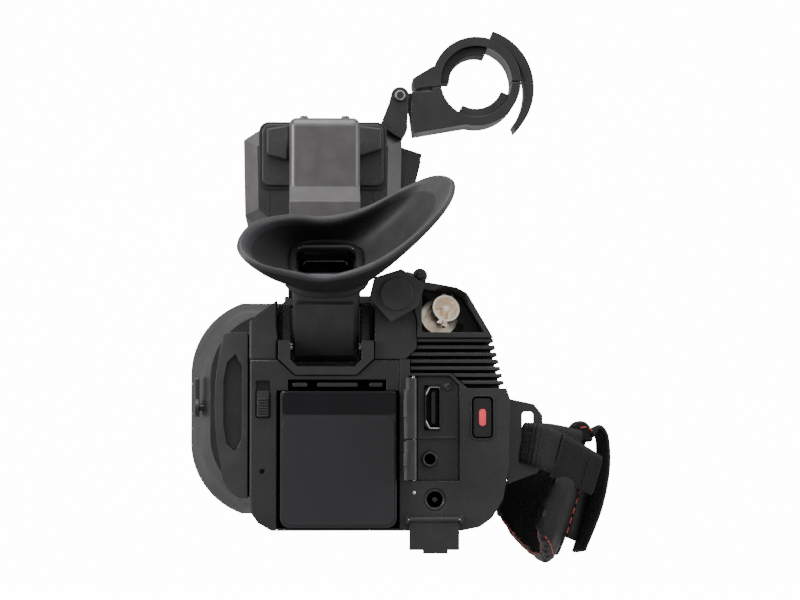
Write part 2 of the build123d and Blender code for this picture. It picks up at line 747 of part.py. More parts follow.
focus_ring = make_ring(FOCUS_DEPTH, 48)
zoom_ring = make_ring(ZOOM_DEPTH, 36)
export_piece(focus_ring, "focus_ring")
export_piece(zoom_ring, "zoom_ring")

# ---------------------------------------------------------------- lens hood and its shutters
HOOD_BACK, HOOD_RIM, HOOD_FRONT = 206.3, 248.0, 257.0
HOOD_HALF_W, HOOD_HALF_H = 56.0, 45.4
HOOD_REAR_SCALE = 0.83
SHUTTER_Z = 33.0        # shutter pivots, above and below the lens axis
SHUTTER_DEPTH = 213.5
LEVER_X, LEVER_DEPTH = -52.4, 222.0


def hood_section(depth, half_w, half_h):
    """Rounded octagon-like section of the hood: short flats joined by large arcs."""
    flat_x, flat_z = 0.61 * half_w, 0.31 * half_h
    bow_x = (flat_x + half_w) / 2 + 0.085 * half_w
    bow_z = (flat_z + half_h) / 2 + 0.085 * half_h
    with BuildSketch(lens_plane(depth)) as section:
        with BuildLine():
            for sx, sz in ((1, 1), (-1, 1), (-1, -1), (1, -1)):
                ThreePointArc((sx * half_w, sz * flat_z), (sx * bow_x, sz * bow_z),
                              (sx * flat_x, sz * half_h))
            Line((flat_x, half_h), (-flat_x, half_h))
            Line((-half_w, flat_z), (-half_w, -flat_z))
            Line((-flat_x, -half_h), (flat_x, -half_h))
            Line((half_w, -flat_z), (half_w, flat_z))
        make_face()
    return section.sketch


hood_back = hood_section(HOOD_BACK, HOOD_HALF_W * HOOD_REAR_SCALE, HOOD_HALF_H * HOOD_REAR_SCALE)
hood_rim = hood_section(HOOD_RIM, HOOD_HALF_W, HOOD_HALF_H)
hollow_back = hood_section(HOOD_BACK + 3, HOOD_HALF_W * 0.785, HOOD_HALF_H * 0.785)
hollow_rim = hood_section(HOOD_RIM + 0.1, HOOD_HALF_W - 2.4, HOOD_HALF_H - 2.4)
hollow_front = hood_section(HOOD_FRONT + 1, HOOD_HALF_W - 2.4, HOOD_HALF_H - 2.4)

with BuildPart() as lens_hood:
    loft(sections=[hood_back, hood_rim])
    extrude(to_extrude=hood_rim, amount=-(HOOD_FRONT - HOOD_RIM))
    loft(sections=[hollow_back, hollow_rim], mode=Mode.SUBTRACT)
    extrude(to_extrude=hollow_front, amount=HOOD_FRONT + 1 - HOOD_RIM, mode=Mode.SUBTRACT)
    with BuildSketch(lens_plane(HOOD_BACK + 5)):
        Circle(31)
    extrude(amount=8, mode=Mode.SUBTRACT)
    # ears that carry the two shutters
    with BuildSketch(lens_plane(SHUTTER_DEPTH + 2.5)):
        for side in (-1, 1):
            for level in (-1, 1):
                with Locations((side * 33.5, level * SHUTTER_Z)):
                    Rectangle(2.2, 5)
    extrude(amount=SHUTTER_DEPTH + 2.5 - HOOD_BACK - 2)
    for level in (-1, 1):
        with Locations(along_x(0, SHUTTER_DEPTH, LENS_Z + level * SHUTTER_Z)):
            Cylinder(1.1, 74, mode=Mode.SUBTRACT)

with BuildPart() as lever_bore:
    with Locations(along_x(LEVER_X + 3, LEVER_DEPTH, LENS_Z)):
        Cylinder(1.56, 12)

with BuildPart() as lens_hood_bored:
    add(lens_hood.part)
    add(lever_bore.part, mode=Mode.SUBTRACT)

export_piece(lens_hood_bored, "lens_hood")


def make_shutter(level):
    """Shutter flap folded forward along the hood, on two stub pins. level is +1 or -1."""
    pivot_z = LENS_Z + level * SHUTTER_Z
    with BuildPart() as flap:
        with Locations(along_x(0, SHUTTER_DEPTH, pivot_z)):
            Cylinder(1.05, 68)
            Cylinder(2.0, 60)
        with Locations((0, y_at(SHUTTER_DEPTH + 15.5), pivot_z)):
            Box(54, 31, 1.4)
    return flap


upper_shutter = make_shutter(1)
lower_shutter = make_shutter(-1)
export_piece(upper_shutter, "upper_shutter")
export_piece(lower_shutter, "lower_shutter")

with BuildPart() as shutter_lever:
    with Locations(along_x(LEVER_X, LEVER_DEPTH, LENS_Z)):
        Cylinder(4, 1.6)
    with Locations((LEVER_X, y_at(LEVER_DEPTH), LENS_Z + 6)):
        Box(1.6, 4, 14)
    fillet(shutter_lever.edges().filter_by(Axis.X).group_by(Axis.Z)[-1], 1.5)
    with Locations(along_x(LEVER_X + 3, LEVER_DEPTH, LENS_Z)):
        Cylinder(1.5, 5)

export_piece(shutter_lever, "shutter_lever")

# ---------------------------------------------------------------- LCD panel
LCD_DEPTH = (6.0, 102.0)
LCD_Z = (10.5, 69.0)
LCD_INNER_X = -27.2

with BuildPart() as lcd_hinge:
    with BuildSketch(Plane.XY.offset(20.4)):
        with Locations((LCD_AXIS_X, y_at(LCD_AXIS_DEPTH))):
            Circle(HINGE_R - 0.1)
            Circle(LCD_PIN_R + 0.06, mode=Mode.SUBTRACT)
    extrude(amount=39.4)
    with BuildSketch(rear_view(103.8)):
        with Locations((-32, 40)):
            Circle(3)
    extrude(amount=9.8)

export_piece(lcd_hinge, "lcd_hinge")

with BuildPart() as lcd_panel:
    with BuildSketch(rear_view(LCD_DEPTH[1])):
        with BuildLine():
            Line((LCD_INNER_X, 69), (-33.2, 69))
            ThreePointArc((-33.2, 69), (-35.2, 68.3), (-36.1, 66.4))
            ThreePointArc((-36.1, 66.4), (-38.7, 46), (-36.4, 22))
            ThreePointArc((-36.4, 22), (-34.6, 15.4), (-29.6, 11.2))
            Line((-29.6, 11.2), (LCD_INNER_X, 11.2))
            Line((LCD_INNER_X, 11.2), (LCD_INNER_X, 69))
        make_face()
    extrude(amount=span(LCD_DEPTH))
    # pocket for the screen, in the face towards the body
    with Locations((LCD_INNER_X - 0.8, y_at(50), 40)):
        Box(1.8, 80, 48, mode=Mode.SUBTRACT)
    # finger recess in the rear edge
    with BuildSketch(rear_view(LCD_DEPTH[0] + 4)):
        Polygon((-29.2, 32), (-29.2, 57), (-31.5, 61.4), (-34.4, 58.5), (-35.6, 52),
                (-35.6, 37), (-34.4, 30), (-31.5, 27.4), align=None)
    extrude(amount=6, mode=Mode.SUBTRACT)
    with Locations(along_y(-32, 98, 40)):
        Cylinder(3, 9, mode=Mode.SUBTRACT)

export_piece(lcd_panel, "lcd_panel")

with BuildPart() as lcd_screen:
    with Locations((LCD_INNER_X - 0.9, y_at(50), 40)):
        Box(1.4, 79.4, 47.4)

export_piece(lcd_screen, "lcd_screen")

# ---------------------------------------------------------------- viewfinder cradle
EVF_TILT = 50.0         # degrees above level, as stored
EVF_PIVOT = Vector(0, y_at(12), 64)
CRADLE_HALF = 16.6
ARM_INNER = 12.4
EVF_PIN_R = 1.5

lip_outline = [
    (-CRADLE_HALF, 66), (-CRADLE_HALF, 59.6), (-10.6, 54), (10.6, 54), (CRADLE_HALF, 59.6),
    (CRADLE_HALF, 66), (ARM_INNER, 66), (ARM_INNER, 59.4), (10, 57), (-10, 57),
    (-ARM_INNER, 59.4), (-ARM_INNER, 66),
]
tray_outline = [
    (-CRADLE_HALF, 79), (-CRADLE_HALF, 54), (CRADLE_HALF, 54), (CRADLE_HALF, 79), (ARM_INNER, 79),
    (ARM_INNER, 57), (-ARM_INNER, 57), (-ARM_INNER, 79),
]

with BuildPart() as evf_cradle:
    with BuildSketch(rear_view(PANEL_DEPTH + SEAM)):
        Polygon(*lip_outline, align=None)
    extrude(amount=PANEL_DEPTH + SEAM + 1)
    with BuildSketch(rear_view(CRADLE_DEPTH)):
        Polygon(*tray_outline, align=None)
    extrude(amount=CRADLE_DEPTH - PANEL_DEPTH - SEAM)
    with BuildSketch(rear_view(CRADLE_DEPTH)):
        Polygon((-CRADLE_HALF, 54), (CRADLE_HALF, 54), (CRADLE_HALF, 79), (-CRADLE_HALF, 79),
                align=None)
    extrude(amount=2.2)
    # uprights that hold the pin
    for side in (-1, 1):
        with BuildSketch(side_view(side * (ARM_INNER + 1.4) - 1.4)):
            Polygon((y_at(3), 60), (y_at(14), 60), (y_at(18), 79), (y_at(7), 79), align=None)
        extrude(amount=2.8)
    with Locations(along_x(0, 12, EVF_PIVOT.Z)):
        Cylinder(EVF_PIN_R, 30.6, mode=Mode.SUBTRACT)

export_piece(evf_cradle, "evf_cradle")

# ---------------------------------------------------------------- viewfinder, tilted on its pin
evf_axis = Vector(0, -math.cos(math.radians(EVF_TILT)), math.sin(math.radians(EVF_TILT)))
EVF_HALF = 11.6
EVF_LOW, EVF_HIGH = -5.0, 20.0      # lower and upper faces, measured from the pin
EVF_LENGTH = 27.0
EVF_MID = (EVF_LOW + EVF_HIGH) / 2


def evf_plane(distance):
    """Plane across the viewfinder: x is +X, y is its upward side, z its eyepiece end."""
    return Plane(origin=EVF_PIVOT + evf_axis * distance, x_dir=(1, 0, 0), z_dir=evf_axis)


with BuildPart() as evf_body:
    with BuildSketch(evf_plane(0)):
        with Locations((0, EVF_MID)):
            RectangleRounded(2 * EVF_HALF, EVF_HIGH - EVF_LOW, 3)
    extrude(amount=EVF_LENGTH)
    with Locations(along_x(0, 12, EVF_PIVOT.Z)):
        Cylinder(5, 21.8)
    with BuildSketch(evf_plane(6.5)):
        with Locations((0, EVF_MID)):
            RectangleRounded(19.4, 21, 2)
    extrude(amount=EVF_LENGTH, mode=Mode.SUBTRACT)
    with Locations(along_x(0, 12, EVF_PIVOT.Z)):
        Cylinder(EVF_PIN_R + 0.06, 30, mode=Mode.SUBTRACT)

export_piece(evf_body, "evf_body")

with BuildPart() as evf_bottom_plate:
    with BuildSketch(evf_plane(1)):
        with Locations((-0.6, EVF_LOW - 0.55)):
            Rectangle(20.5, 1.1)
    extrude(amount=22.4)
    fillet(evf_bottom_plate.edges().group_by(Axis.Z)[-1], 0.3)

export_piece(evf_bottom_plate, "evf_bottom_plate")

with BuildPart() as eyepiece_lens:
    with BuildSketch(evf_plane(22)):
        with Locations((0, EVF_MID)):
            RectangleRounded(19.0, 20.6, 1.8)
    extrude(amount=3)

export_piece(eyepiece_lens, "eyepiece_lens")

with BuildPart() as diopter_dial:
    with Locations(Plane(origin=EVF_PIVOT + evf_axis * 20 + Vector(-EVF_HALF - 0.9, 8 * 0.766, 8 * 0.643),
                         x_dir=(0, 1, 0), z_dir=(1, 0, 0))):
        Cylinder(3.2, 1.4)
        with PolarLocations(3.2, 12):
            Cylinder(0.35, 1.4)

export_piece(diopter_dial, "diopter_dial")

# ---------------------------------------------------------------- eyecup
CUP_BASE = 27.2
CUP_RIM = 69.0
CUP_WALL = 2.4


def cup_section(distance, half_w, half_h, mid_x, mid_y):
    """Oval section of the eyecup."""
    with BuildSketch(evf_plane(distance)) as section:
        with Locations((mid_x, mid_y)):
            Ellipse(half_w, half_h)
    return section.sketch


cup_rim_line = [(-60, 60), (-33, 52), (-14, 45.5), (3, 43.5), (20, 50.5), (34, 61), (47, 69),
                (60, 99), (-60, 99)]
# Seen from under the viewfinder: x is +X, y runs towards the eyepiece.
cup_view = Plane(origin=EVF_PIVOT, x_dir=(1, 0, 0), z_dir=evf_axis.cross(Vector(1, 0, 0)) * -1)

cup_outer = [
    cup_section(CUP_BASE + 2, 14.4, 14.4, 0, EVF_MID),
    cup_section(CUP_RIM + 1, 52, 28.0, 8, -4.0),
]
cup_inner = [
    cup_section(CUP_BASE + 4, 12.0, 12.0, 0, EVF_MID),
    cup_section(CUP_RIM + 1.5, 52 - CUP_WALL, 28.0 - CUP_WALL, 8, -4.0),
]
with BuildPart() as cup_trim:
    with BuildSketch(cup_view):
        Polygon(*cup_rim_line, align=None)
    extrude(amount=70, both=True)

with BuildPart() as eyecup:
    loft(sections=cup_outer)
    loft(sections=cup_inner, mode=Mode.SUBTRACT)
    add(cup_trim.part, mode=Mode.SUBTRACT)
    with BuildSketch(evf_plane(CUP_BASE)):
        with Locations((0, EVF_MID)):
            RectangleRounded(28, 27.6, 5)
    extrude(amount=2.4)
    with BuildSketch(evf_plane(CUP_BASE - 1)):
        with Locations((0, EVF_MID)):
            RectangleRounded(23.2, 15, 4)
    extrude(amount=8, mode=Mode.SUBTRACT)

export_piece(eyecup, "eyecup")

# ---------------------------------------------------------------- top handle
HANDLE_TOP = 151.0
MODULE_DEPTH = (150.0, 225.0)
MODULE_HALF = 31.8
LEG_DEPTH = 60.0

with BuildPart() as handle_frame:
    with BuildSketch(side_view(-13)):
        with BuildLine():
            Polyline((y_at(72), DECK_Z + 0.1), (y_at(52), DECK_Z + 0.1), (y_at(52), 119),
                     (y_at(LEG_DEPTH), 125), (y_at(LEG_DEPTH), 147.5))
            ThreePointArc((y_at(LEG_DEPTH), 147.5), (y_at(LEG_DEPTH + 1.1), 149.9),
                          (y_at(LEG_DEPTH + 3.6), HANDLE_TOP))
            Polyline((y_at(LEG_DEPTH + 3.6), HANDLE_TOP), (y_at(222), HANDLE_TOP), (y_at(222), 119),
                     (y_at(164.5), 119), (y_at(164.5), FOOT_Z + 0.1), (y_at(145), FOOT_Z + 0.1),
                     (y_at(145), 121), (y_at(136), 130), (y_at(82), 130), (y_at(72), 120),
                     (y_at(72), DECK_Z + 0.1))
        make_face()
    extrude(amount=26)
    grip_edges = [
        edge for edge in handle_frame.edges().filter_by(Axis.Y)
        if edge.center().Z > 129 and edge.center().Y < y_at(200)
    ]
    fillet(grip_edges, 2.5)

export_piece(handle_frame, "handle_frame")

with BuildPart() as handle_module:
    with BuildSketch(rear_view(MODULE_DEPTH[1])):
        Polygon((-24, 157.5), (24, 157.5), (MODULE_HALF, 152.5), (31.2, 122), (27, 118),
                (-27, 118), (-31.2, 122), (-MODULE_HALF, 152.5), align=None)
    extrude(amount=span(MODULE_DEPTH))
    back_rim = handle_module.faces().sort_by(Axis.Y)[0].edges()
    chamfer([edge for edge in back_rim if abs(edge.center().X) > 25], 5.5)
    front_rim = handle_module.faces().sort_by(Axis.Y)[-1].edges()
    chamfer(front_rim, 3)
    with BuildSketch(rear_view(MODULE_DEPTH[1] - 2.8)):
        with Locations((0, 134)):
            Rectangle(26.3, 34.4)
    extrude(amount=80, mode=Mode.SUBTRACT)
    # microphone grilles and the lamp's window in the front face
    with BuildSketch(rear_view(MODULE_DEPTH[1] + 1)):
        with Locations((0, 150)):
            RectangleRounded(18, 7, 2)
    extrude(amount=2.6, mode=Mode.SUBTRACT)
    # audio block leaning out on the grip side
    with BuildSketch(rear_view(215)):
        Polygon((31.0, 150.6), (40.2, 147.6), (36.6, 133.6), (31.0, 131.0), align=None)
    extrude(amount=55)
    for socket_depth in (176, 200):
        with Locations(Plane(origin=(36.4, y_at(socket_depth), 141), x_dir=(0, 1, 0),
                             z_dir=(math.cos(math.radians(14)), 0, -math.sin(math.radians(14))))):
            Cylinder(6.2, 12, mode=Mode.SUBTRACT)

export_piece(handle_module, "handle_module")

with BuildPart() as audio_sockets:
    for socket_depth in (176, 200):
        with Locations(Plane(origin=(36.2, y_at(socket_depth), 141), x_dir=(0, 1, 0),
                             z_dir=(math.cos(math.radians(14)), 0, -math.sin(math.radians(14))))):
            Cylinder(6.1, 5.6)
            with Locations((0, 0, 1.2)):
                Cylinder(5.1, 3.6, mode=Mode.SUBTRACT)

export_piece(audio_sockets, "audio_sockets")

with BuildPart() as video_light:
    with BuildSketch(rear_view(MODULE_DEPTH[1])):
        with Locations((0, 150)):
            RectangleRounded(17.6, 6.6, 1.8)
    extrude(amount=1.5)

export_piece(video_light, "video_light")

with BuildPart() as accessory_shoe:
    with Locations((-8, y_at(192), 157.5 + 1.1)):
        Box(21, 20, 2.0)
    with Locations((-8, y_at(192), 157.5 + 2.2 + 1.0)):
        Box(21, 20, 2.4)
    with Locations((-8, y_at(194), 157.5 + 2.9)):
        Box(18.7, 24, 2.1, mode=Mode.SUBTRACT)
    with Locations((-8, y_at(194), 157.5 + 3)):
        Box(12.6, 24, 5, mode=Mode.SUBTRACT)
    with Locations((-8, y_at(192), 157.5 + 1.1)):
        Box(21, 20, 2.0)

export_piece(accessory_shoe, "accessory_shoe")

with BuildPart() as handle_rec_button:
    with Locations((17.5, y_at(162), 159.0)):
        Cylinder(3.4, 2.2)
    fillet(handle_rec_button.edges().group_by(Axis.Z)[-1], 0.5)

export_piece(handle_rec_button, "handle_rec_button")

ROCKER_Z = 160.2
with BuildPart() as handle_zoom_rocker:
    with BuildSketch(side_view(21.5)):
        Polygon((y_at(180), ROCKER_Z - 0.9), (y_at(194), ROCKER_Z - 0.9), (y_at(194), ROCKER_Z + 1.6),
                (y_at(187), ROCKER_Z + 0.5), (y_at(180), ROCKER_Z + 1.6), align=None)
    extrude(amount=5)

export_piece(handle_zoom_rocker, "handle_zoom_rocker")

# ---------------------------------------------------------------- microphone holder
HOLDER_DEPTH = (152.0, 172.0)
HOLDER_PIVOT = (31.0, 170.3)
HOLDER_RING = (61.8, 176.4)
RING_INNER, RING_OUTER = 14.3, 18.0

with BuildPart() as mic_bracket:
    with BuildSketch(rear_view(HOLDER_DEPTH[1])):
        Polygon((23.0, 158.2), (30.0, 153.8), (31.6, 153.0), (34.0, 157.0), (34.0, 160),
                (34.4, 170), (27.6, 170), align=None)
        with Locations(HOLDER_PIVOT):
            Circle(3.6)
    extrude(amount=span(HOLDER_DEPTH))
    with BuildSketch(rear_view(HOLDER_DEPTH[1] - 3)):
        Polygon((20, 163.5), (45, 163.5), (45, 180), (20, 180), align=None)
    extrude(amount=span(HOLDER_DEPTH) - 6, mode=Mode.SUBTRACT)
    with BuildSketch(rear_view(240)):
        Polygon((-24, 157.6), (24, 157.6), (MODULE_HALF + 0.1, 152.6), (31.5, 140), (0, 140),
                align=None)
    extrude(amount=100, mode=Mode.SUBTRACT)
    with Locations(along_y(HOLDER_PIVOT[0], 162, HOLDER_PIVOT[1])):
        Cylinder(1.5, 26)
    with Locations(along_y(HOLDER_PIVOT[0], HOLDER_DEPTH[0] - 0.5, HOLDER_PIVOT[1])):
        Cylinder(2.4, 1.6)

export_piece(mic_bracket, "mic_bracket")


def ring_point(radius, degrees):
    """Point in the holder's plane, seen from behind, round the ring's centre."""
    turn = math.radians(degrees)
    return (HOLDER_RING[0] + radius * math.cos(turn), HOLDER_RING[1] + radius * math.sin(turn))


with BuildPart() as mic_arm:
    with BuildSketch(rear_view(HOLDER_DEPTH[1] - 3.3)):
        Polygon((31.0, 166.8), (35.0, 164.8), (36.4, 155.2), (55.9, 158.6), (66, 160),
                (66, 173.2), (31, 171.6), align=None)
        with Locations(HOLDER_PIVOT):
            Circle(3.5)
        with Locations(HOLDER_RING):
            Circle(RING_OUTER)
            Circle(RING_INNER, mode=Mode.SUBTRACT)
        Polygon((20, HOLDER_RING[1] - 0.3), (36, 172.2), (48, 174.2), (62, 176.1), (90, 176.1),
                (90, 210), (20, 210), align=None, mode=Mode.SUBTRACT)
        with Locations(HOLDER_PIVOT):
            Circle(3.5)
            Circle(1.58, mode=Mode.SUBTRACT)
    extrude(amount=span(HOLDER_DEPTH) - 6.6)
    with BuildSketch(rear_view(HOLDER_DEPTH[1])):
        Polygon((35.3, 163.5), (36.4, 155.2), (55.9, 158.6), (66, 160), (66, 173.2),
                (35.7, 171.9), align=None)
        with Locations(HOLDER_RING):
            Circle(RING_OUTER)
            Circle(RING_INNER, mode=Mode.SUBTRACT)
        Polygon((20, 171.9), (36, 172.2), (48, 174.2), (62, 176.1), (90, 176.1), (90, 210),
                (20, 210), align=None, mode=Mode.SUBTRACT)
    extrude(amount=span(HOLDER_DEPTH))

export_piece(mic_arm, "mic_arm")

with BuildPart() as mic_clamp:
    with BuildSketch(rear_view(HOLDER_DEPTH[1])):
        Polygon((36.2, 175.2), (37.6, 173.2), (48, 174.8), (48, 182.6), (44, 182.2), (36.2, 177.4),
                align=None)
        with Locations(HOLDER_RING):
            Circle(RING_OUTER)
            Circle(RING_INNER, mode=Mode.SUBTRACT)
        Polygon((36, 172.6), (48, 174.6), (62, 176.6), (90, 176.6), (90, 140), (36, 140),
                align=None, mode=Mode.SUBTRACT)
    extrude(amount=span(HOLDER_DEPTH))

export_piece(mic_clamp, "mic_clamp")

with BuildPart() as mic_latch:
    with BuildSketch(rear_view(HOLDER_DEPTH[1] - 2)):
        with BuildLine():
            ThreePointArc(ring_point(18.4, 72), ring_point(18.7, 20), ring_point(22.9, -50))
            Line(ring_point(22.9, -50), ring_point(25.6, -52))
            ThreePointArc(ring_point(25.6, -52), ring_point(23.3, 0), ring_point(21.6, 72))
            Line(ring_point(21.6, 72), ring_point(18.4, 72))
        make_face()
    extrude(amount=span(HOLDER_DEPTH) - 4)

export_piece(mic_latch, "mic_latch")


# ---------------------------------------------------------------- grip rocker
with BuildPart() as zoom_rocker:
    with BuildSketch(side_view(46)):
        Polygon((y_at(118), 68.2), (y_at(142), 68.2), (y_at(142), 71.4), (y_at(130), 69.8),
                (y_at(118), 71.4), align=None)
    extrude(amount=9)

export_piece(zoom_rocker, "zoom_rocker")

# ---------------------------------------------------------------- hand strap
STRAP_LEAN = 20.0       # degrees that the strap's plane leans out
lean = math.radians(STRAP_LEAN)
strap_up = Vector(math.sin(lean), 0, math.cos(lean))
strap_out = Vector(math.cos(lean), 0, -math.sin(lean))
PAD_BOTTOM = 13.0       # measured along the strap's leaning width
PAD_WIDTH = 38.0


def strap_plane(height):
    """Leaning plane: x runs outwards, y forwards. height is measured along the strap's width."""
    return Plane(origin=strap_up * height, x_dir=strap_out, z_dir=strap_up)


with BuildPart() as strap_lugs:
    with BuildSketch(rear_view(18)):
        Polygon((64.1, 46.2), (73.5, 44.2), (76.5, 40.4), (76.5, 24), (74.6, 20), (64.1, 16),
                align=None)
        with Locations((71.35, 33.2)):
            RectangleRounded(4.2, 16.6, 1.2, mode=Mode.SUBTRACT)
    extrude(amount=4)
    with BuildSketch(rear_view(140)):
        Polygon((64.1, 44), (71.5, 42), (73.5, 39), (73.5, 27), (71, 24), (64.1, 22), align=None)
        with Locations((69.4, 33)):
            RectangleRounded(3.6, 13, 1.2, mode=Mode.SUBTRACT)
    extrude(amount=4)

export_piece(strap_lugs, "strap_lugs")

with BuildPart() as strap_pad:
    with BuildSketch(strap_plane(PAD_BOTTOM)):
        with BuildLine():
            outer = ThreePointArc((73.0, y_at(34)), (86, y_at(74)), (63.0, y_at(133)))
            inner = ThreePointArc((59.5, y_at(133)), (78.5, y_at(74)), (68.5, y_at(35)))
            Line(outer @ 1, inner @ 0)
            Line(inner @ 1, outer @ 0)
        make_face()
    extrude(amount=PAD_WIDTH)

export_piece(strap_pad, "strap_pad")

with BuildPart() as strap_webbing:
    with BuildSketch(Plane.XY.offset(26)):
        with BuildLine():
            Polyline((71.2, y_at(24)), (71.2, y_at(10)), (79.5, y_at(11)), (88.5, y_at(40)),
                     (98.5, y_at(68)))
        trace(line_width=2)
    extrude(amount=13.5)
    with BuildSketch(Plane.XY.offset(-8)):
        with BuildLine():
            Polyline((100.5, y_at(67)), (103.5, y_at(74)))
        trace(line_width=2)
    extrude(amount=44)

export_piece(strap_webbing, "strap_webbing")

# ---------------------------------------------------------------- hinge pins
with BuildPart() as hinge_pins:
    with Locations((PORT_HINGE_X, y_at(PORT_HINGE_DEPTH), (16.3 + 54.2) / 2)):
        Cylinder(PORT_PIN_R, 54.2 - 16.3)
    with Locations(along_x(37.6, DC_HINGE_DEPTH, DC_HINGE_Z)):
        Cylinder(PORT_PIN_R, 19.6)
    with Locations(along_x(0, 12, EVF_PIVOT.Z)):
        Cylinder(EVF_PIN_R, 30.4)
    with Locations((LCD_AXIS_X, y_at(LCD_AXIS_DEPTH), 40.1)):
        Cylinder(LCD_PIN_R, 48)

export_piece(hinge_pins, "hinge_pins")
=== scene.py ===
import json
import math

import bmesh
import bpy
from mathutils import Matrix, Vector
from mathutils.bvhtree import BVHTree


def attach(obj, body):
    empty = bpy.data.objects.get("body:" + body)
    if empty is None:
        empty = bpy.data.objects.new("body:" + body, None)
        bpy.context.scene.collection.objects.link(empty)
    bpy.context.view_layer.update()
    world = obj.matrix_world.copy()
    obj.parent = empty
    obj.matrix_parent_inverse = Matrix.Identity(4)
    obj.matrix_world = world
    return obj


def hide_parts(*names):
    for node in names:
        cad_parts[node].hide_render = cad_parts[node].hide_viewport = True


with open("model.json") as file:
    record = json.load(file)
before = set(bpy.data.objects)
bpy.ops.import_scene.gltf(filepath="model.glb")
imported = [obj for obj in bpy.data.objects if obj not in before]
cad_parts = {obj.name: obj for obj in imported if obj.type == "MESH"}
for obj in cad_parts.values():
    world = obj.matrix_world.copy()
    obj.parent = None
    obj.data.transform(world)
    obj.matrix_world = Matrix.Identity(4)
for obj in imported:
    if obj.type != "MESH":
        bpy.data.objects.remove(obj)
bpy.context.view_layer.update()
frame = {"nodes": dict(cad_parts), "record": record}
nodes = frame["nodes"]

MM = 0.001
REAR = -95.0            # Y of the rear face, mm


def at(x, depth, z):
    """A point in metres from millimetres: X, depth in front of the rear face, Z."""
    return Vector((x, REAR + depth, z)) * MM


# ------------------------------------------------------------------ materials
def new_material(name, colour, rough, metal=0.0, spec=0.5, coat=0.0, coat_rough=0.1, sheen=0.0):
    mat = bpy.data.materials.new(name)
    mat.use_nodes = True
    shader = mat.node_tree.nodes["Principled BSDF"]
    shader.inputs["Base Color"].default_value = (*colour, 1)
    shader.inputs["Roughness"].default_value = rough
    shader.inputs["Metallic"].default_value = metal
    shader.inputs["Specular IOR Level"].default_value = spec
    shader.inputs["Coat Weight"].default_value = coat
    shader.inputs["Coat Roughness"].default_value = coat_rough
    shader.inputs["Sheen Weight"].default_value = sheen
    shader.inputs["Sheen Roughness"].default_value = 0.4
    return mat


def node(mat, kind, **values):
    made = mat.node_tree.nodes.new(kind)
    for key, value in values.items():
        if key in made.inputs:
            made.inputs[key].default_value = value
        else:
            setattr(made, key, value)
    return made


def link(mat, source, output, target, field):
    mat.node_tree.links.new(source.outputs[output], target.inputs[field])


def coords(mat, scale=(1, 1, 1), rotation=(0, 0, 0)):
    """Object coordinates, stretched and turned."""
    place = node(mat, "ShaderNodeTexCoord")
    turn = node(mat, "ShaderNodeMapping")
    turn.inputs["Scale"].default_value = scale
    turn.inputs["Rotation"].default_value = rotation
    link(mat, place, "Object", turn, "Vector")
    return turn


def add_bump(mat, texture, output, height, strength=1.0):
    """A bump from a texture; height is in metres. Bumps added later sit on the earlier ones."""
    shader = mat.node_tree.nodes["Principled BSDF"]
    bump = node(mat, "ShaderNodeBump", Strength=strength, Distance=height)
    link(mat, texture, output, bump, "Height")
    before = shader.inputs["Normal"].links
    if before:
        mat.node_tree.links.new(before[0].from_socket, bump.inputs["Normal"])
    link(mat, bump, "Normal", shader, "Normal")


def add_range(mat, texture, output, field, low, high, pos=(0.35, 0.65)):
    """Drives a shader input from a texture between two greys or colours."""
    shader = mat.node_tree.nodes["Principled BSDF"]
    ramp = node(mat, "ShaderNodeValToRGB")
    low = low if isinstance(low, tuple) else (low, low, low)
    high = high if isinstance(high, tuple) else (high, high, high)
    ramp.color_ramp.elements[0].position = pos[0]
    ramp.color_ramp.elements[1].position = pos[1]
    ramp.color_ramp.elements[0].color = (*low, 1)
    ramp.color_ramp.elements[1].color = (*high, 1)
    link(mat, texture, output, ramp, "Fac")
    link(mat, ramp, "Color", shader, field)


def noise(mat, scale, detail=2.0, stretch=(1, 1, 1), rotation=(0, 0, 0)):
    texture = node(mat, "ShaderNodeTexNoise", Scale=scale, Detail=detail)
    link(mat, coords(mat, stretch, rotation), "Vector", texture, "Vector")
    return texture


def grains(mat, scale, stretch=(1, 1, 1)):
    texture = node(mat, "ShaderNodeTexVoronoi", Scale=scale)
    link(mat, coords(mat, stretch), "Vector", texture, "Vector")
    return texture


def moulded(name, colour, rough, grain=1600.0, depth=0.00004, spec=0.5, spread=0.06, coat=0.0,
             edge_radius=0.0004):
    """Moulded plastic: a sparked fine grain, with soft clouds in its gloss and tint."""
    mat = new_material(name, colour, rough, spec=spec, coat=coat)
    cloud = noise(mat, 45.0, 4.0)
    add_range(mat, cloud, "Fac", "Roughness", max(0.05, rough - spread), min(1.0, rough + spread))
    tint = noise(mat, 160.0, 3.0)
    edge = node(mat, "ShaderNodeBevel", Radius=edge_radius)
    edge.samples = 4
    link(mat, edge, "Normal", mat.node_tree.nodes["Principled BSDF"], "Normal")
    dark = tuple(c * 0.86 for c in colour)
    light = tuple(min(1.0, c * 1.14) for c in colour)
    add_range(mat, tint, "Fac", "Base Color", dark, light)
    add_bump(mat, grains(mat, grain), "Distance", depth)
    add_bump(mat, noise(mat, grain * 1.7, 2.0), "Fac", depth * 0.7)
    return mat


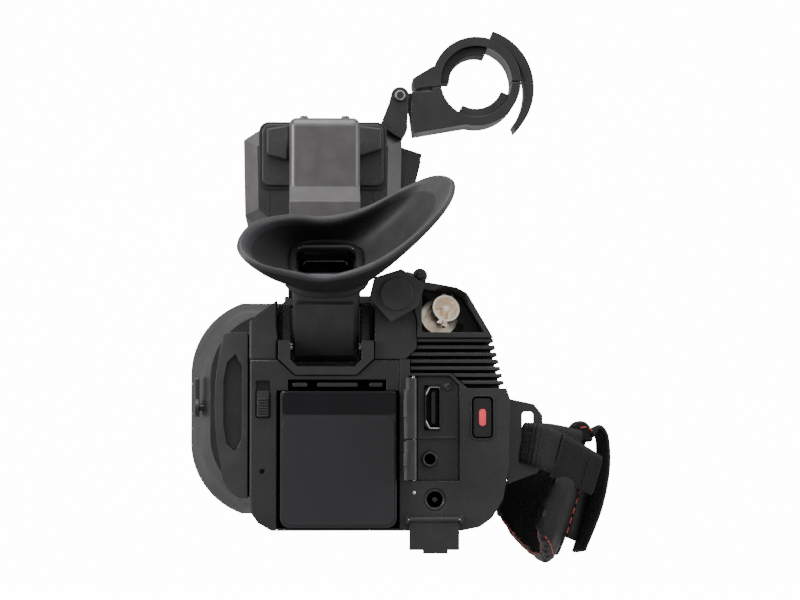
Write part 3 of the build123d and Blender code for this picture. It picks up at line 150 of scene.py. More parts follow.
rear_black = moulded("rear_black", (0.0115, 0.0115, 0.0125), 0.42)
case_black = moulded("case_black", (0.0145, 0.0145, 0.0158), 0.46)
panel_black = moulded("panel_black", (0.0145, 0.0145, 0.0158), 0.40, grain=2100, depth=0.00003)
# the handle's own grey plastic, also laid on the module's side bevels as a painted highlight
handle_grey_and_highlight = moulded("handle_grey_and_highlight", (0.047, 0.044, 0.045), 0.36, grain=2600, depth=0.00002, spec=0.8)
holder_black = moulded("holder_black", (0.0120, 0.0120, 0.0130), 0.36, grain=2400, depth=0.00002)
lens_black = moulded("lens_black", (0.0150, 0.0145, 0.0145), 0.4, grain=2200, depth=0.00003)
dark_metal = moulded("dark_metal", (0.014, 0.014, 0.015), 0.34, grain=2600, depth=0.00002, spec=0.7)
bay_black = moulded("bay_black", (0.005, 0.005, 0.0055), 0.45)
button_black = moulded("button_black", (0.008, 0.008, 0.009), 0.3, grain=2600, depth=0.00001)
rubber_black = moulded("rubber_black", (0.0175, 0.0175, 0.0190), 0.55, grain=2000, depth=0.00002, spec=0.32)
grip_rubber = moulded("grip_rubber", (0.0125, 0.0125, 0.0135), 0.6, grain=1100, depth=0.00007, spec=0.4)
rim_rubber = moulded("rim_rubber", (0.029, 0.029, 0.032), 0.55, grain=2000, depth=0.00002, spec=0.4)
flap_grey = moulded("flap_grey", (0.045, 0.045, 0.049), 0.4, grain=2400, depth=0.00002)
board_green = moulded("board_green", (0.012, 0.055, 0.03), 0.4)
red_plastic = moulded("red_plastic", (0.85, 0.06, 0.08), 0.4, grain=2600, depth=0.00001)

battery_black = new_material("battery_black", (0.0185, 0.0190, 0.0210), 0.22, spec=0.35)
add_range(battery_black, noise(battery_black, 60, 3), "Fac", "Roughness", 0.12, 0.24)
add_bump(battery_black, noise(battery_black, 900, 2), "Fac", 0.000004)

nickel = new_material("nickel", (0.96, 0.86, 0.74), 0.2, metal=1.0)
add_range(nickel, noise(nickel, 60, 2), "Fac", "Roughness", 0.24, 0.27)
add_bump(nickel, noise(nickel, 1500, 3, (1, 4, 1)), "Fac", 0.000004)
steel = new_material("steel", (0.5, 0.49, 0.48), 0.28, metal=1.0)
add_range(steel, noise(steel, 700, 4), "Fac", "Roughness", 0.2, 0.42)
gold = new_material("gold", (0.9, 0.6, 0.22), 0.22, metal=1.0)
add_range(gold, noise(gold, 900, 3), "Fac", "Roughness", 0.15, 0.35)
glass = new_material("glass", (0.003, 0.003, 0.005), 0.06, spec=0.35)
add_range(glass, noise(glass, 40, 2), "Fac", "Base Color", (0.001, 0.001, 0.002), (0.004, 0.002, 0.005))

leather = new_material("leather", (0.0040, 0.0040, 0.0045), 0.5, spec=0.3)
add_range(leather, noise(leather, 90, 4), "Fac", "Roughness", 0.42, 0.6)
add_bump(leather, grains(leather, 1300), "Distance", 0.00012)
add_bump(leather, noise(leather, 220, 4), "Fac", 0.00012)
fuzz = new_material("fuzz", (0.004, 0.004, 0.004), 0.95, spec=0.1)
add_range(fuzz, noise(fuzz, 2600, 3), "Fac", "Base Color",
          (0.0008, 0.0008, 0.0008), (0.014, 0.014, 0.0145), (0.45, 0.8))
add_bump(fuzz, noise(fuzz, 2200, 4), "Fac", 0.0005)
thread_red = new_material("thread_red", (0.42, 0.03, 0.03), 0.6, sheen=0.3)
add_range(thread_red, noise(thread_red, 3000, 2), "Fac", "Base Color",
          (0.25, 0.015, 0.015), (0.6, 0.06, 0.05))
add_bump(thread_red, noise(thread_red, 3500, 2), "Fac", 0.0001)
webbing_mat = new_material("webbing", (0.008, 0.008, 0.009), 0.7, spec=0.3, sheen=0.06)
add_range(webbing_mat, noise(webbing_mat, 1800, 3), "Fac", "Base Color",
          (0.004, 0.004, 0.005), (0.017, 0.017, 0.0185))
add_bump(webbing_mat, noise(webbing_mat, 1500, 3), "Fac", 0.0002)
velcro = new_material("velcro", (0.008, 0.008, 0.008), 0.9, spec=0.15, sheen=0.08)
add_range(velcro, noise(velcro, 1700, 4), "Fac", "Base Color",
          (0.002, 0.002, 0.002), (0.012, 0.012, 0.0115), (0.4, 0.75))
add_bump(velcro, noise(velcro, 1500, 4), "Fac", 0.0004)

slot_material = {
    "case_plastic": case_black, "panel_plastic": panel_black, "handle_plastic": handle_grey_and_highlight,
    "holder_plastic": holder_black, "lens_plastic": lens_black, "ring_rubber": grip_rubber,
    "dark_metal": dark_metal, "battery_plastic": battery_black, "bay_plastic": bay_black,
    "soft_rubber": rubber_black, "nickel": nickel, "steel": steel, "optical_glass": glass,
    "circuit_board": board_green, "red_plastic": red_plastic, "button_plastic": button_black,
    "strap_leather": leather, "strap_web": webbing_mat,
}
hood_grey = moulded("hood_grey", (0.0150, 0.0138, 0.0134), 0.42, grain=2600, depth=0.00001, spec=0.35)
# the viewfinder's black plastic is painted lighter than the case: painted light for its faces that tilt
# down away from the lamps
finder_black_painted_light = moulded("finder_black_painted_light", (0.026, 0.026, 0.028), 0.42, grain=2100, depth=0.00003)
screen_black = moulded("screen_black", (0.025, 0.025, 0.0265), 0.38, grain=2400, depth=0.00002)
node_material = {"lens_hood": hood_grey, "handle_module": case_black, "hdmi_connector": bay_black,
                 "port_cover_hdmi": flap_grey, "port_cover_phones": flap_grey,
                 "lcd_panel": screen_black, "evf_body": finder_black_painted_light, "evf_bottom_plate": finder_black_painted_light,
                 "sdi_cap": rim_rubber, "rear_panel": rear_black}

slot_of = {}
for item in frame["record"]["subparts"]:
    slot_of[item["node"]] = item["material_slot"]
for name, obj in nodes.items():
    obj.data.materials.clear()
    obj.data.materials.append(node_material.get(name, slot_material.get(slot_of.get(name), case_black)))


def second_finish(name, mat, test):
    """Gives a second material to the faces of a CAD node that pass a test of centre and normal."""
    obj = nodes[name]
    obj.data.materials.append(mat)
    for face in obj.data.polygons:
        if test(face.center / MM, face.normal):
            face.material_index = 1


# the module's side bevels that face sideways and back get the lighter grey: a painted highlight from the
# side lights
second_finish("handle_module", handle_grey_and_highlight,
              lambda c, n: abs(n.x) > 0.35 and n.y < -0.35 and abs(c.x) < 33)
second_finish("lens_hood", lens_black, lambda c, n: c.y - REAR > 249.0)

# ------------------------------------------------------------------ mesh tools
def piece(name, verts, faces, mat, body, replaces=(), smooth=True):
    mesh = bpy.data.meshes.new(name)
    mesh.from_pydata([tuple(v) for v in verts], [], faces)
    mesh.update()
    obj = bpy.data.objects.new(name, mesh)
    bpy.context.scene.collection.objects.link(obj)
    return finish_piece(obj, mat, body, replaces, smooth)


def finish_piece(obj, mat, body, replaces=(), smooth=True):
    tidy = bmesh.new()
    tidy.from_mesh(obj.data)
    bmesh.ops.recalc_face_normals(tidy, faces=tidy.faces)
    tidy.to_mesh(obj.data)
    tidy.free()
    for face in obj.data.polygons:
        face.use_smooth = smooth
    if mat is not None:
        obj.data.materials.append(mat)
    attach(obj, body)
    if replaces:
        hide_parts(*replaces)
    return obj


def bake(obj, *modifiers):
    """Adds modifiers as (type, {settings}) and applies them."""
    for kind, settings in modifiers:
        mod = obj.modifiers.new(kind, kind)
        for key, value in settings.items():
            setattr(mod, key, value)
    graph = bpy.context.evaluated_depsgraph_get()
    mesh = bpy.data.meshes.new_from_object(obj.evaluated_get(graph))
    obj.modifiers.clear()
    obj.data = mesh
    return obj


def grid_faces(rows, cols, wrap_rows=False, wrap_cols=False):
    faces = []
    for r in range(rows if wrap_rows else rows - 1):
        for c in range(cols if wrap_cols else cols - 1):
            r2, c2 = (r + 1) % rows, (c + 1) % cols
            faces.append((r * cols + c, r * cols + c2, r2 * cols + c2, r2 * cols + c))
    return faces


def lathe(name, centre, axis, profile, mat, body, segments=48, replaces=()):
    """Turned part: profile is (radius, distance along the axis) in mm, from one end to the other."""
    axis = Vector(axis).normalized()
    turn = axis.to_track_quat("Z", "Y").to_matrix()
    verts, faces = [], []
    for radius, height in profile:
        for k in range(segments):
            angle = 2 * math.pi * k / segments
            local = Vector((radius * math.cos(angle), radius * math.sin(angle), height))
            verts.append(centre + turn @ local * MM)
    faces = grid_faces(len(profile), segments, wrap_cols=True)
    faces.append(tuple(range(segments)))
    last = (len(profile) - 1) * segments
    faces.append(tuple(range(last, last + segments)))
    obj = piece(name, verts, faces, mat, body, replaces)
    return bake(obj, ("EDGE_SPLIT", {"split_angle": math.radians(38)}))


def slab(name, outline, origin, x_dir, normal, height, mat, body, bevel=0.3, replaces=(), segments=3):
    """Flat part: outline in mm on a plane, pushed out along the normal, with rounded edges."""
    x_dir, normal = Vector(x_dir).normalized(), Vector(normal).normalized()
    y_dir = normal.cross(x_dir)
    verts = []
    for level in (0, height):
        for x, y in outline:
            verts.append(origin + (x_dir * x + y_dir * y + normal * level) * MM)
    count = len(outline)
    faces = [tuple(range(count))[::-1], tuple(range(count, 2 * count))]
    faces += [(k, (k + 1) % count, count + (k + 1) % count, count + k) for k in range(count)]
    obj = piece(name, verts, faces, mat, body, replaces, smooth=True)
    return bake(obj, ("BEVEL", {"width": bevel * MM, "segments": segments, "limit_method": "ANGLE",
                                "angle_limit": math.radians(25), "harden_normals": True}))


def rear_slab(name, outline, depth, height, mat, body, bevel=0.3):
    """Slab whose outline is seen from behind, X and Z in mm; it rises backwards from its depth."""
    return slab(name, outline, at(0, depth, 0), (1, 0, 0), (0, -1, 0), height, mat, body, bevel)


def rounded(width, height, radius, cx=0.0, cy=0.0, steps=6):
    """Outline of a rounded rectangle."""
    points = []
    for sx, sy, start in ((1, 1, 0), (-1, 1, 90), (-1, -1, 180), (1, -1, 270)):
        for k in range(steps + 1):
            angle = math.radians(start + 90 * k / steps)
            points.append((cx + sx * (width / 2 - radius) + radius * math.cos(angle),
                           cy + sy * (height / 2 - radius) + radius * math.sin(angle)))
    return points


def ribbon_tube(name, path, radius, mat, body, sides=8, closed=False, replaces=()):
    """Round bead along a path of points in metres."""
    verts = []
    count = len(path)
    up = Vector((0.13, 0.21, 0.97))
    for i, point in enumerate(path):
        ahead = path[(i + 1) % count] if closed or i + 1 < count else point
        behind = path[i - 1] if closed or i > 0 else point
        along = (ahead - behind).normalized()
        side = along.cross(up).normalized()
        other = along.cross(side).normalized()
        for k in range(sides):
            angle = 2 * math.pi * k / sides
            verts.append(point + (side * math.cos(angle) + other * math.sin(angle)) * radius * MM)
    faces = grid_faces(count, sides, wrap_rows=closed, wrap_cols=True)
    if not closed:
        faces += [tuple(range(sides)), tuple(range((count - 1) * sides, count * sides))]
    return piece(name, verts, faces, mat, body, replaces)


def spline(points, count, closed=False):
    """Points on a Catmull-Rom curve through the given ones, evenly spaced."""
    pts = [Vector(p) for p in points]
    dense = []
    n = len(pts)
    spans = n if closed else n - 1
    for i in range(spans):
        p0 = pts[(i - 1) % n] if closed or i > 0 else pts[0] * 2 - pts[1]
        p1, p2 = pts[i], pts[(i + 1) % n]
        p3 = pts[(i + 2) % n] if closed or i + 2 < n else pts[-1] * 2 - pts[-2]
        for k in range(16):
            t = k / 16
            dense.append(0.5 * ((2 * p1) + (p2 - p0) * t + (2 * p0 - 5 * p1 + 4 * p2 - p3) * t * t
                                + (3 * p1 - p0 - 3 * p2 + p3) * t ** 3))
    dense.append(pts[0] if closed else pts[-1])
    lengths = [0.0]
    for a, b in zip(dense, dense[1:]):
        lengths.append(lengths[-1] + (b - a).length)
    out, j = [], 0
    steps = count if closed else count - 1
    for i in range(count):
        goal = lengths[-1] * i / steps
        while j < len(dense) - 2 and lengths[j + 1] < goal:
            j += 1
        span = lengths[j + 1] - lengths[j]
        out.append(dense[j].lerp(dense[j + 1], (goal - lengths[j]) / span if span else 0))
    return out


def joined(name, objects):
    """Joins several pieces that ride on one body into one object."""
    graph = bmesh.new()
    keep = objects[0]
    mats = []
    for obj in objects:
        start = len(graph.faces)
        graph.from_mesh(obj.data)
        graph.faces.ensure_lookup_table()
        local = []
        for mat in obj.data.materials:
            if mat not in mats:
                mats.append(mat)
            local.append(mats.index(mat))
        for face in graph.faces[start:]:
            face.material_index = local[face.material_index] if local else 0
    mesh = bpy.data.meshes.new(name)
    graph.to_mesh(mesh)
    graph.free()
    for mat in mats:
        mesh.materials.append(mat)
    keep.data = mesh
    keep.name = name
    for obj in objects[1:]:
        bpy.data.objects.remove(obj)
    return keep


# ------------------------------------------------------------------ eyecup
EVF_COS, EVF_SIN = math.cos(math.radians(50)), math.sin(math.radians(50))


def evf(x, along, up):
    """A point by the viewfinder: X, distance along its optical axis, height across it, in mm."""
    return at(x, 12 - EVF_COS * along + EVF_SIN * up, 64 + EVF_SIN * along + EVF_COS * up)


# The cup's rim: a long bean seen from behind, low and blunt on the left, with a raised ear on the
# right. Each point is X and the height across the optical axis, in mm.
RIM_OUTLINE = [
    (-30.5, -10), (-26, 5), (-14.5, 15.5), (0, 19), (14, 19.5), (28, 19), (38, 15.5), (43.5, 6),
    (41, -5), (31, -13.5), (17, -17), (0, -18), (-14.5, -18.5), (-25, -18),
]
RIM_LOW_X = 2.0         # X where the rim lies closest to the eyepiece
RIM_LOW = 43.4          # how far along the optical axis it lies there
RIM_BEND = 12.5         # half width of the rim's rounded low stretch
RIM_SLOPE_LEFT, RIM_SLOPE_RIGHT = 0.36, 0.76


def rim_along(x):
    """Distance of the rim along the optical axis: it rises on both sides, more to the ear."""
    slope = RIM_SLOPE_LEFT if x < RIM_LOW_X else RIM_SLOPE_RIGHT
    return RIM_LOW + slope * (math.hypot(x - RIM_LOW_X, RIM_BEND) - RIM_BEND)


CUP_MID = 7.5
CUP_STEPS = 96


def make_eyecup():
    rim = spline([Vector((x, rim_along(x), up)) for x, up in RIM_OUTLINE], CUP_STEPS, closed=True)
    rows = [[] for _ in range(32)]
    for point in rim:
        x, t, n = point
        angle = math.atan2(n - CUP_MID + 8.0, x - 3.0)
        ca, sa = math.cos(angle), math.sin(angle)
        outward = Vector((ca, 0, sa))

        def oval(half_w, half_h, height, power=2.6):
            scale = (abs(ca / half_w) ** power + abs(sa / half_h) ** power) ** (-1 / power)
            return Vector((scale * ca, height, CUP_MID + scale * sa))

        base_out = oval(14.6, 14.2, 29.5)
        base_in = oval(13.4, 12.6, 32.0)
        bulge = 3.2 + 2.0 * max(0.0, ca) - 1.0 * sa
        knee_out = base_out.lerp(Vector(point), 0.46) + outward * bulge * 0.1 + Vector((0, -3.6, 0))
        knee_in = base_in.lerp(Vector(point), 0.46) + Vector((0, -3.4, 0))
        lip = 1.75
        tip = Vector(point)
        outer_tip = tip + Vector((0, -1.6, 0))
        inner_tip = tip - outward * lip * 1.9 + Vector((0, -1.2, 0))
        profile = [oval(14.9, 14.5, 26.6), oval(15.3, 14.9, 26.9), oval(15.3, 14.9, 28.7), base_out]
        for k in range(1, 9):
            s = k / 9
            profile.append(base_out * (1 - s) ** 2 + knee_out * 2 * s * (1 - s) + outer_tip * s * s)
        profile += [tip + outward * 0.15 + Vector((0, -1.1, 0)), tip + outward * 0.1 + Vector((0, -0.3, 0)),
                    tip - outward * 0.9 + Vector((0, 0.45, 0)), tip - outward * 2.1 + Vector((0, 0.2, 0)),
                    inner_tip]
        for k in range(1, 8):
            s = k / 8
            profile.append(inner_tip * (1 - s) ** 2 + knee_in * 2 * s * (1 - s) + base_in * s * s)
        profile += [base_in, oval(13.0, 10.2, 31.4, 3.4), oval(10.9, 8.2, 31.3, 3.6)]
        for row, place in zip(rows, profile):
            row.append(evf(place.x, place.y, place.z))
    rows = [row for row in rows if row]
    verts = [v for row in rows for v in row]
    obj = piece("eyecup_rubber", verts, grid_faces(len(rows), CUP_STEPS, wrap_rows=True, wrap_cols=True),
                rubber_black, "viewfinder", replaces=("eyecup",))
    obj.data.materials.append(rim_rubber)
    for i, face in enumerate(obj.data.polygons):
        if 12 <= i // CUP_STEPS <= 16:
            face.material_index = 1
    return bake(obj, ("SUBSURF", {"levels": 1}))


make_eyecup()

# eyepiece frame round the window, glossy
bezel_outer = rounded(25.8, 20.0, 5.4, 0, CUP_MID, 10)
bezel_inner = rounded(20.4, 14.8, 3.2, 0, CUP_MID, 10)
rows = []
bezel_steps = [
    (bezel_outer, 30.6), (bezel_outer, 32.4), (rounded(24.4, 18.4, 4.9, 0, CUP_MID, 10), 33.0),
    (rounded(21.4, 15.8, 3.7, 0, CUP_MID, 10), 33.0), (bezel_inner, 32.2), (bezel_inner, 29.4),
]
for outline, height in bezel_steps:
    rows.append([evf(x, height, n) for x, n in outline])
count = len(rows[0])
piece("eyepiece_frame", [v for row in rows for v in row],
      grid_faces(len(rows), count, wrap_rows=True, wrap_cols=True),
      battery_black, "viewfinder")

outline = [(-7.8, -0.2), (-7.5, 1.6), (-6.7, 2.2), (6.3, 2.2), (7.1, 1.6), (7.4, -0.2)]
ribbon_tube("display_rim", [evf(x, 30.4, CUP_MID + up) for x, up in outline], 0.15, dark_metal,
            "viewfinder", sides=8)

# ------------------------------------------------------------------ strap
LEAN = math.radians(20)
strap_up = Vector((math.sin(LEAN), 0, math.cos(LEAN)))
strap_out = Vector((math.cos(LEAN), 0, -math.sin(LEAN)))


def strap(out, depth, height):
    """A point in the strap's leaning frame: outwards, depth, and up its width, in mm."""
    return (strap_out * out + strap_up * height + Vector((0, REAR + depth, 0))) * MM


pad_arc = spline([(69.6, 33, 0), (77.4, 50, 0), (82.0, 74, 0),
                  (79.6, 98, 0), (71.6, 118, 0), (61.0, 133, 0)], 41)


def pad_edges(s):
    """Lower and upper edge of the pad at a fraction of its length."""
    end = abs(2 * s - 1)
    return 13.5 + 12.5 * end ** 2.4, 53.0 - 5.0 * end ** 2.4


def pad_point(s, v, side):
    """Pad surface: s along, v across from 0 to 1, side -1 inside, 1 outside, 0 in the middle."""
    place = s * (len(pad_arc) - 1)
    i = min(int(place), len(pad_arc) - 2)
    centre = pad_arc[i].lerp(pad_arc[i + 1], place - i)
    along = (pad_arc[i + 1] - pad_arc[i]).normalized()
    normal = Vector((along.y, -along.x, 0))
    low, high = pad_edges(s)
    crown = (1 - (2 * v - 1) ** 4) ** 0.5 * min(1.0, 6.0 * s + 0.25, 6.0 * (1 - s) + 0.25)
    off = normal * side * (0.9 + 2.3 * crown)
    return strap(centre.x + off.x, centre.y + off.y, low + (high - low) * v)


def make_pad():
    cols, rows = 33, 15
    verts = []
    for side in (1, -1):
        for r in range(rows):
            for c in range(cols):
                verts.append(pad_point(c / (cols - 1), r / (rows - 1), side))
    size = rows * cols
    faces = grid_faces(rows, cols)
    faces += [tuple(size + k for k in reversed(f)) for f in grid_faces(rows, cols)]
    edge = [c for c in range(cols)] + [r * cols + cols - 1 for r in range(1, rows)]
    edge += [(rows - 1) * cols + c for c in range(cols - 2, -1, -1)]
    edge += [r * cols for r in range(rows - 2, 0, -1)]
    for k, a in enumerate(edge):
        b = edge[(k + 1) % len(edge)]
        faces.append((a, b, size + b, size + a))
    obj = piece("strap_pad_soft", verts, faces, None, "camera", replaces=("strap_pad",))
    bake(obj, ("REMESH", {"mode": "VOXEL", "voxel_size": 0.0024}),
         ("SMOOTH", {"factor": 0.5, "iterations": 4}))
    start = [v.co.copy() for v in obj.data.vertices]
    cloth = obj.modifiers.new("cloth", "CLOTH")
    cloth.settings.use_pressure = True
    cloth.settings.uniform_pressure_force = 4.0
    cloth.settings.quality = 5
    cloth.settings.mass = 0.3
    cloth.settings.effector_weights.gravity = 0.0
    cloth.point_cache.frame_start = 1
    cloth.point_cache.frame_end = 14
    for step in range(1, 15):
        bpy.context.scene.frame_set(step)
    graph = bpy.context.evaluated_depsgraph_get()
    mesh = bpy.data.meshes.new_from_object(obj.evaluated_get(graph))
    for vertex, origin in zip(mesh.vertices, start):
        move = vertex.co - origin
        if move.length > 0.0012:
            move *= 0.0012 / move.length
        vertex.co = origin + move
    obj.modifiers.clear()
    obj.data = mesh
    bpy.context.scene.frame_set(1)
    obj.data.materials.append(leather)
    obj.data.materials.append(fuzz)
    for face in obj.data.polygons:
        place = face.center / MM
        depth = place.y - REAR
        best = min(range(len(pad_arc)), key=lambda i: abs(pad_arc[i].y - depth))
        s = best / (len(pad_arc) - 1)
        height = place.dot(strap_up)
        out = place.dot(strap_out)
        low, high = pad_edges(s)
        inside = out < pad_arc[best].x - 0.6
        border = 4.0
        if inside and low + border < height < high - border and 0.06 < s < 0.94:
            face.material_index = 1
        face.use_smooth = True
    bake(obj, ("SUBSURF", {"levels": 1}))
    return obj


pad = make_pad()


def stitches(name, points, length, gap, radius, mat, body="camera", ground=None):
    """Thread stitches along a path: each is a short bead that dips in at both ends."""
    total = sum((b - a).length for a, b in zip(points, points[1:])) / MM
    count = max(2, int(total / (length + gap)))
    path = spline(points, count * 8 + 1)
    if ground is not None:
        tree = BVHTree.FromObject(ground, bpy.context.evaluated_depsgraph_get())
        placed = []
        for p in path:
            hit, normal, _, _ = tree.find_nearest(p)
            placed.append(hit + normal * radius * 0.35 * MM)
        path = placed
    beads = []
    for k in range(count):
        part = path[k * 8:k * 8 + max(3, int(8 * length / (length + gap)) + 1)]
        bead = ribbon_tube(f"{name}_{k}", part, radius, mat, body, sides=6)
        beads.append(bead)
    return joined(name, beads)


line = [pad_point(s / 40, 0.085, -1.25) for s in range(3, 38)]
stitches("pad_stitch_low", line, 2.2, 1.0, 0.26, thread_red, ground=pad)
line = [pad_point(s / 40, 0.09, 1.2) for s in range(3, 38)]
stitches("pad_stitch_outer", line, 2.2, 1.0, 0.26, thread_red, ground=pad)

def strip(name, edge_a, edge_b, thick, mat, body="camera", slot="strap_web", pitch=0.0, ribs=0.25,
          count=60, across=9, replaces=()):
    """Flat band between two edges given as (X, depth, Z) in mm; ribs run across it."""
    a = spline([Vector(p) for p in edge_a], count)
    b = spline([Vector(p) for p in edge_b], count)
    rows = []
    run = 0.0
    for i in range(count):
        along = a[min(i + 1, count - 1)] - a[max(i - 1, 0)] + b[min(i + 1, count - 1)] - b[max(i - 1, 0)]
        wide = b[i] - a[i]
        normal = along.cross(wide).normalized()
        if i:
            run += ((a[i] - a[i - 1]).length + (b[i] - b[i - 1]).length) / 2
        lift = ribs * math.cos(2 * math.pi * run / pitch) if pitch else 0.0
        top, low = [], []
        for k in range(across):
            v = k / (across - 1)
            half = thick / 2 * (0.45 if k in (0, across - 1) else 1.0)
            middle = a[i] + wide * v
            top.append(at(*(middle + normal * (half + lift))))
            low.append(at(*(middle - normal * (half + lift))))
        rows.append(top + low[::-1])
    wide = len(rows[0])
    faces = grid_faces(count, wide, wrap_cols=True)
    faces += [tuple(range(wide)), tuple(range((count - 1) * wide, count * wide))]
    return piece(name, [v for row in rows for v in row], faces, mat, body, replaces)


strip("web_band",
      [(70.6, 17.5, 37.4), (71.3, 12.4, 37.6), (76.8, 11.2, 37.2), (84.3, 30, 34.3), (90, 46, 31.4)],
      [(68.5, 17.5, 23.6), (69.2, 12.4, 23.4), (74.3, 11.4, 21.9), (80.0, 29, 19.9), (86.2, 45, 16.8)],
      1.5, webbing_mat, pitch=1.35, ribs=0.22, count=220, replaces=("strap_webbing",))
strip("web_return", [(71.5, 19.6, 37.0), (77.5, 20.5, 37.6), (87, 42, 36.6), (97, 68, 34.6)],
      [(70.0, 19.6, 24.0), (76.2, 20.5, 24.0), (85, 42, 22.4), (94, 68, 19.6)],
      1.5, webbing_mat, pitch=1.35, ribs=0.2, count=260)
strip("velcro_tab", [(85.4, 31.0, 33.9), (94.2, 47.2, 29.9), (102.6, 62.8, 25.6)],
      [(80.3, 30.0, 18.6), (89.6, 46.2, 14.9), (98.2, 61.8, 11.4)], 1.6, velcro, count=40)
tab_edge = [Vector((85.5, 30.6, 34.0)), Vector((83.6, 29.6, 27.5)), Vector((80.2, 29.6, 18.4))]
ribbon_tube("velcro_tab_edge", [at(*p) for p in spline(tab_edge, 24)], 0.75, leather,
            "camera")
stitches("tab_stitch", [at(97.0, 51.6, 27.0), at(95.4, 51.1, 20.0), at(93.7, 50.8, 14.6)],
         1.9, 1.1, 0.26, webbing_mat)
dome = [(90.0, 30.5), (90.2, 34.6), (91.6, 37.4), (93.6, 38.8), (95.8, 38.9), (97.8, 37.6),
        (99.2, 34.8), (99.4, 31.0)]
rear_slab("loop_top", dome, 74, 11.5, leather, "camera", 1.3)
dome_seam = [at(94.6, 62.2, 36.2), at(97.0, 62.2, 36.3), at(98.9, 62.0, 35.0), at(100.4, 61.0, 34.6)]
stitches("loop_stitch", dome_seam, 1.5, 0.7, 0.3, thread_red)
strip("web_tail",
      [(99.0, 61, 33.6), (101.6, 61, 36.6), (104.3, 62, 34.0), (105.3, 63, 28.0), (105.3, 64, 21),
       (104.2, 65, 13.0), (102.2, 66, 5.0), (99.4, 67, -2.4), (96.6, 68, -9.0)],
      [(97.6, 73, 32.4), (99.6, 73, 35.0), (101.6, 74, 32.6), (102.0, 75, 26.0), (101.0, 76, 19),
       (99.0, 77, 11.0), (97.0, 78, 4.0), (95.2, 79, -3.4), (93.4, 80, -10.2)],
      2.2, webbing_mat, count=80)


def wrap_edges(start, length, low, dip, lift, swell, steps=8):
    """Both edges of a band that lies round the pad's outer side.

    start and length are fractions of the pad's length. low is where the lower edge lies across the
    pad, and dip how much lower it is halfway. lift is the height over the pad's middle, in halves
    of its thickness, and swell how much more it is halfway.
    """
    edges = [], []
    for k in range(steps + 1):
        half_way = math.sin(math.pi * k / steps)
        for across, edge in zip((low - dip * half_way, 0.97), edges):
            q = pad_point(start + length * k / steps, across, lift + swell * half_way) / MM
            edge.append((q.x, q.y - REAR, q.z))
    return edges


# sleeve on the pad's outer side, with its stitching, and webbing that loops loosely over it
sleeve = strip("pad_sleeve", *wrap_edges(0.27, 0.40, 0.30, 0.16, 1.22, 0), 1.2, leather,
               slot="strap_leather", count=40)
stitches("sleeve_stitch", [pad_point(0.30, v / 20, 1.5) for v in range(7, 20)], 2.2, 1.2, 0.3,
         thread_red, ground=sleeve)
strip("web_layer", *wrap_edges(0.33, 0.32, 0.33, 0, 1.35, 1.75), 1.5, webbing_mat,
      pitch=1.35, ribs=0.16, count=120)


# ------------------------------------------------------------------ microphone holder
HOLDER = (61.8, 176.4)


def arc_outline(start, end, inner, outer, steps=26):
    points = []
    for k in range(steps + 1):
        angle = math.radians(start + (end - start) * k / steps)
        points.append((HOLDER[0] + outer * math.cos(angle), HOLDER[1] + outer * math.sin(angle)))
    for k in range(steps + 1):
        angle = math.radians(end + (start - end) * k / steps)
        points.append((HOLDER[0] + inner * math.cos(angle), HOLDER[1] + inner * math.sin(angle)))
    return points


liners = [("mic_pad_upper", 72, 181, "mic_clamp"), ("mic_pad_lower", -120, -21, "mic_arm")]
for name, start, end, body in liners:
    rear_slab(name, arc_outline(start, end, 10.8, 14.25), 169, 14, rubber_black, body,
              0.25)
REARWARD = Vector((0, -1, 0))
lathe("mic_pivot_bolt", at(31, 151.2, 170.3), REARWARD,
      [(2.0, -1), (2.0, 0.9), (1.75, 1.2), (1.0, 1.2), (0.95, 0.3)], nickel, "camera")


def screw(name, centre, axis, radius, mat, body):
    """Countersunk screw head; its cross recess is drawn as a dark cross laid on the head, painted shade."""
    head = lathe(name, centre, axis,
                 [(radius, -0.6), (radius, 0.1), (radius * 0.86, 0.25), (radius * 0.3, 0.3)],
                 mat, body, 32)
    arms = []
    up = Vector((1, 0.3, 0.2)).cross(axis).normalized()
    top = centre + Vector(axis).normalized() * 0.24 * MM
    # the dark cross is painted shade standing in for the recess
    for k in range(2):
        width, height = (radius * 1.1, radius * 0.26) if k else (radius * 0.26, radius * 1.1)
        arms.append(slab(f"{name}_cross_{k}", rounded(width, height, radius * 0.1), top,
                         up, axis, 0.1, bay_black, body, 0.02))
    return joined(name, [head] + arms)


# ------------------------------------------------------------------ viewfinder details
for name, x in (("evf_screw_left", -8.2), ("evf_screw_right", 7.4)):
    screw(name, at(x, 6.1, 66.6), REARWARD, 1.15, steel, "viewfinder")

# ------------------------------------------------------------------ rear face details
BATTERY_FACE = -4.0
rear_slab("battery_label", rounded(38.6, 37.6, 3.2, 4.35, 20.9), BATTERY_FACE, 0.35,
          battery_black, "battery", 0.15)
rear_slab("battery_strip", rounded(38.8, 7.6, 1.2, 4.35, 44.1), BATTERY_FACE, 0.35,
          glass, "battery", 0.15)
hooks = [("bay_hook_left", -9.0, 5.0), ("bay_hook_mid", 4.0, 14.0), ("bay_hook_right", 17.4, 4.6)]
for name, x, width in hooks:
    rear_slab(name, rounded(width, 1.5, 0.4, x, 50.6), 4, 3.6, panel_black, "camera",
              0.2)

REC_X, REC_Z = 54.45, 39.25     # middle of the REC button
rear_slab("rec_mark", rounded(2.4, 6.0, 1.15, REC_X, REC_Z), 0.42, 0.3, red_plastic,
          "rec_button", 0.12)
rim_out = rounded(8.3, 15.5, 2.0, REC_X, REC_Z, 8)
rim_top = rounded(7.9, 15.1, 1.85, REC_X, REC_Z, 8)
rim_in = rounded(7.5, 14.7, 1.7, REC_X, REC_Z, 8)
rim_steps = [(rim_out, 0.2), (rim_out, -0.35), (rim_top, -0.5), (rim_in, -0.35), (rim_in, 0.2)]
rows = [[at(x, depth, z) for x, z in line] for line, depth in rim_steps]
piece("rec_bezel", [v for row in rows for v in row],
      grid_faces(5, len(rim_out), wrap_rows=True, wrap_cols=True),
      case_black, "camera")

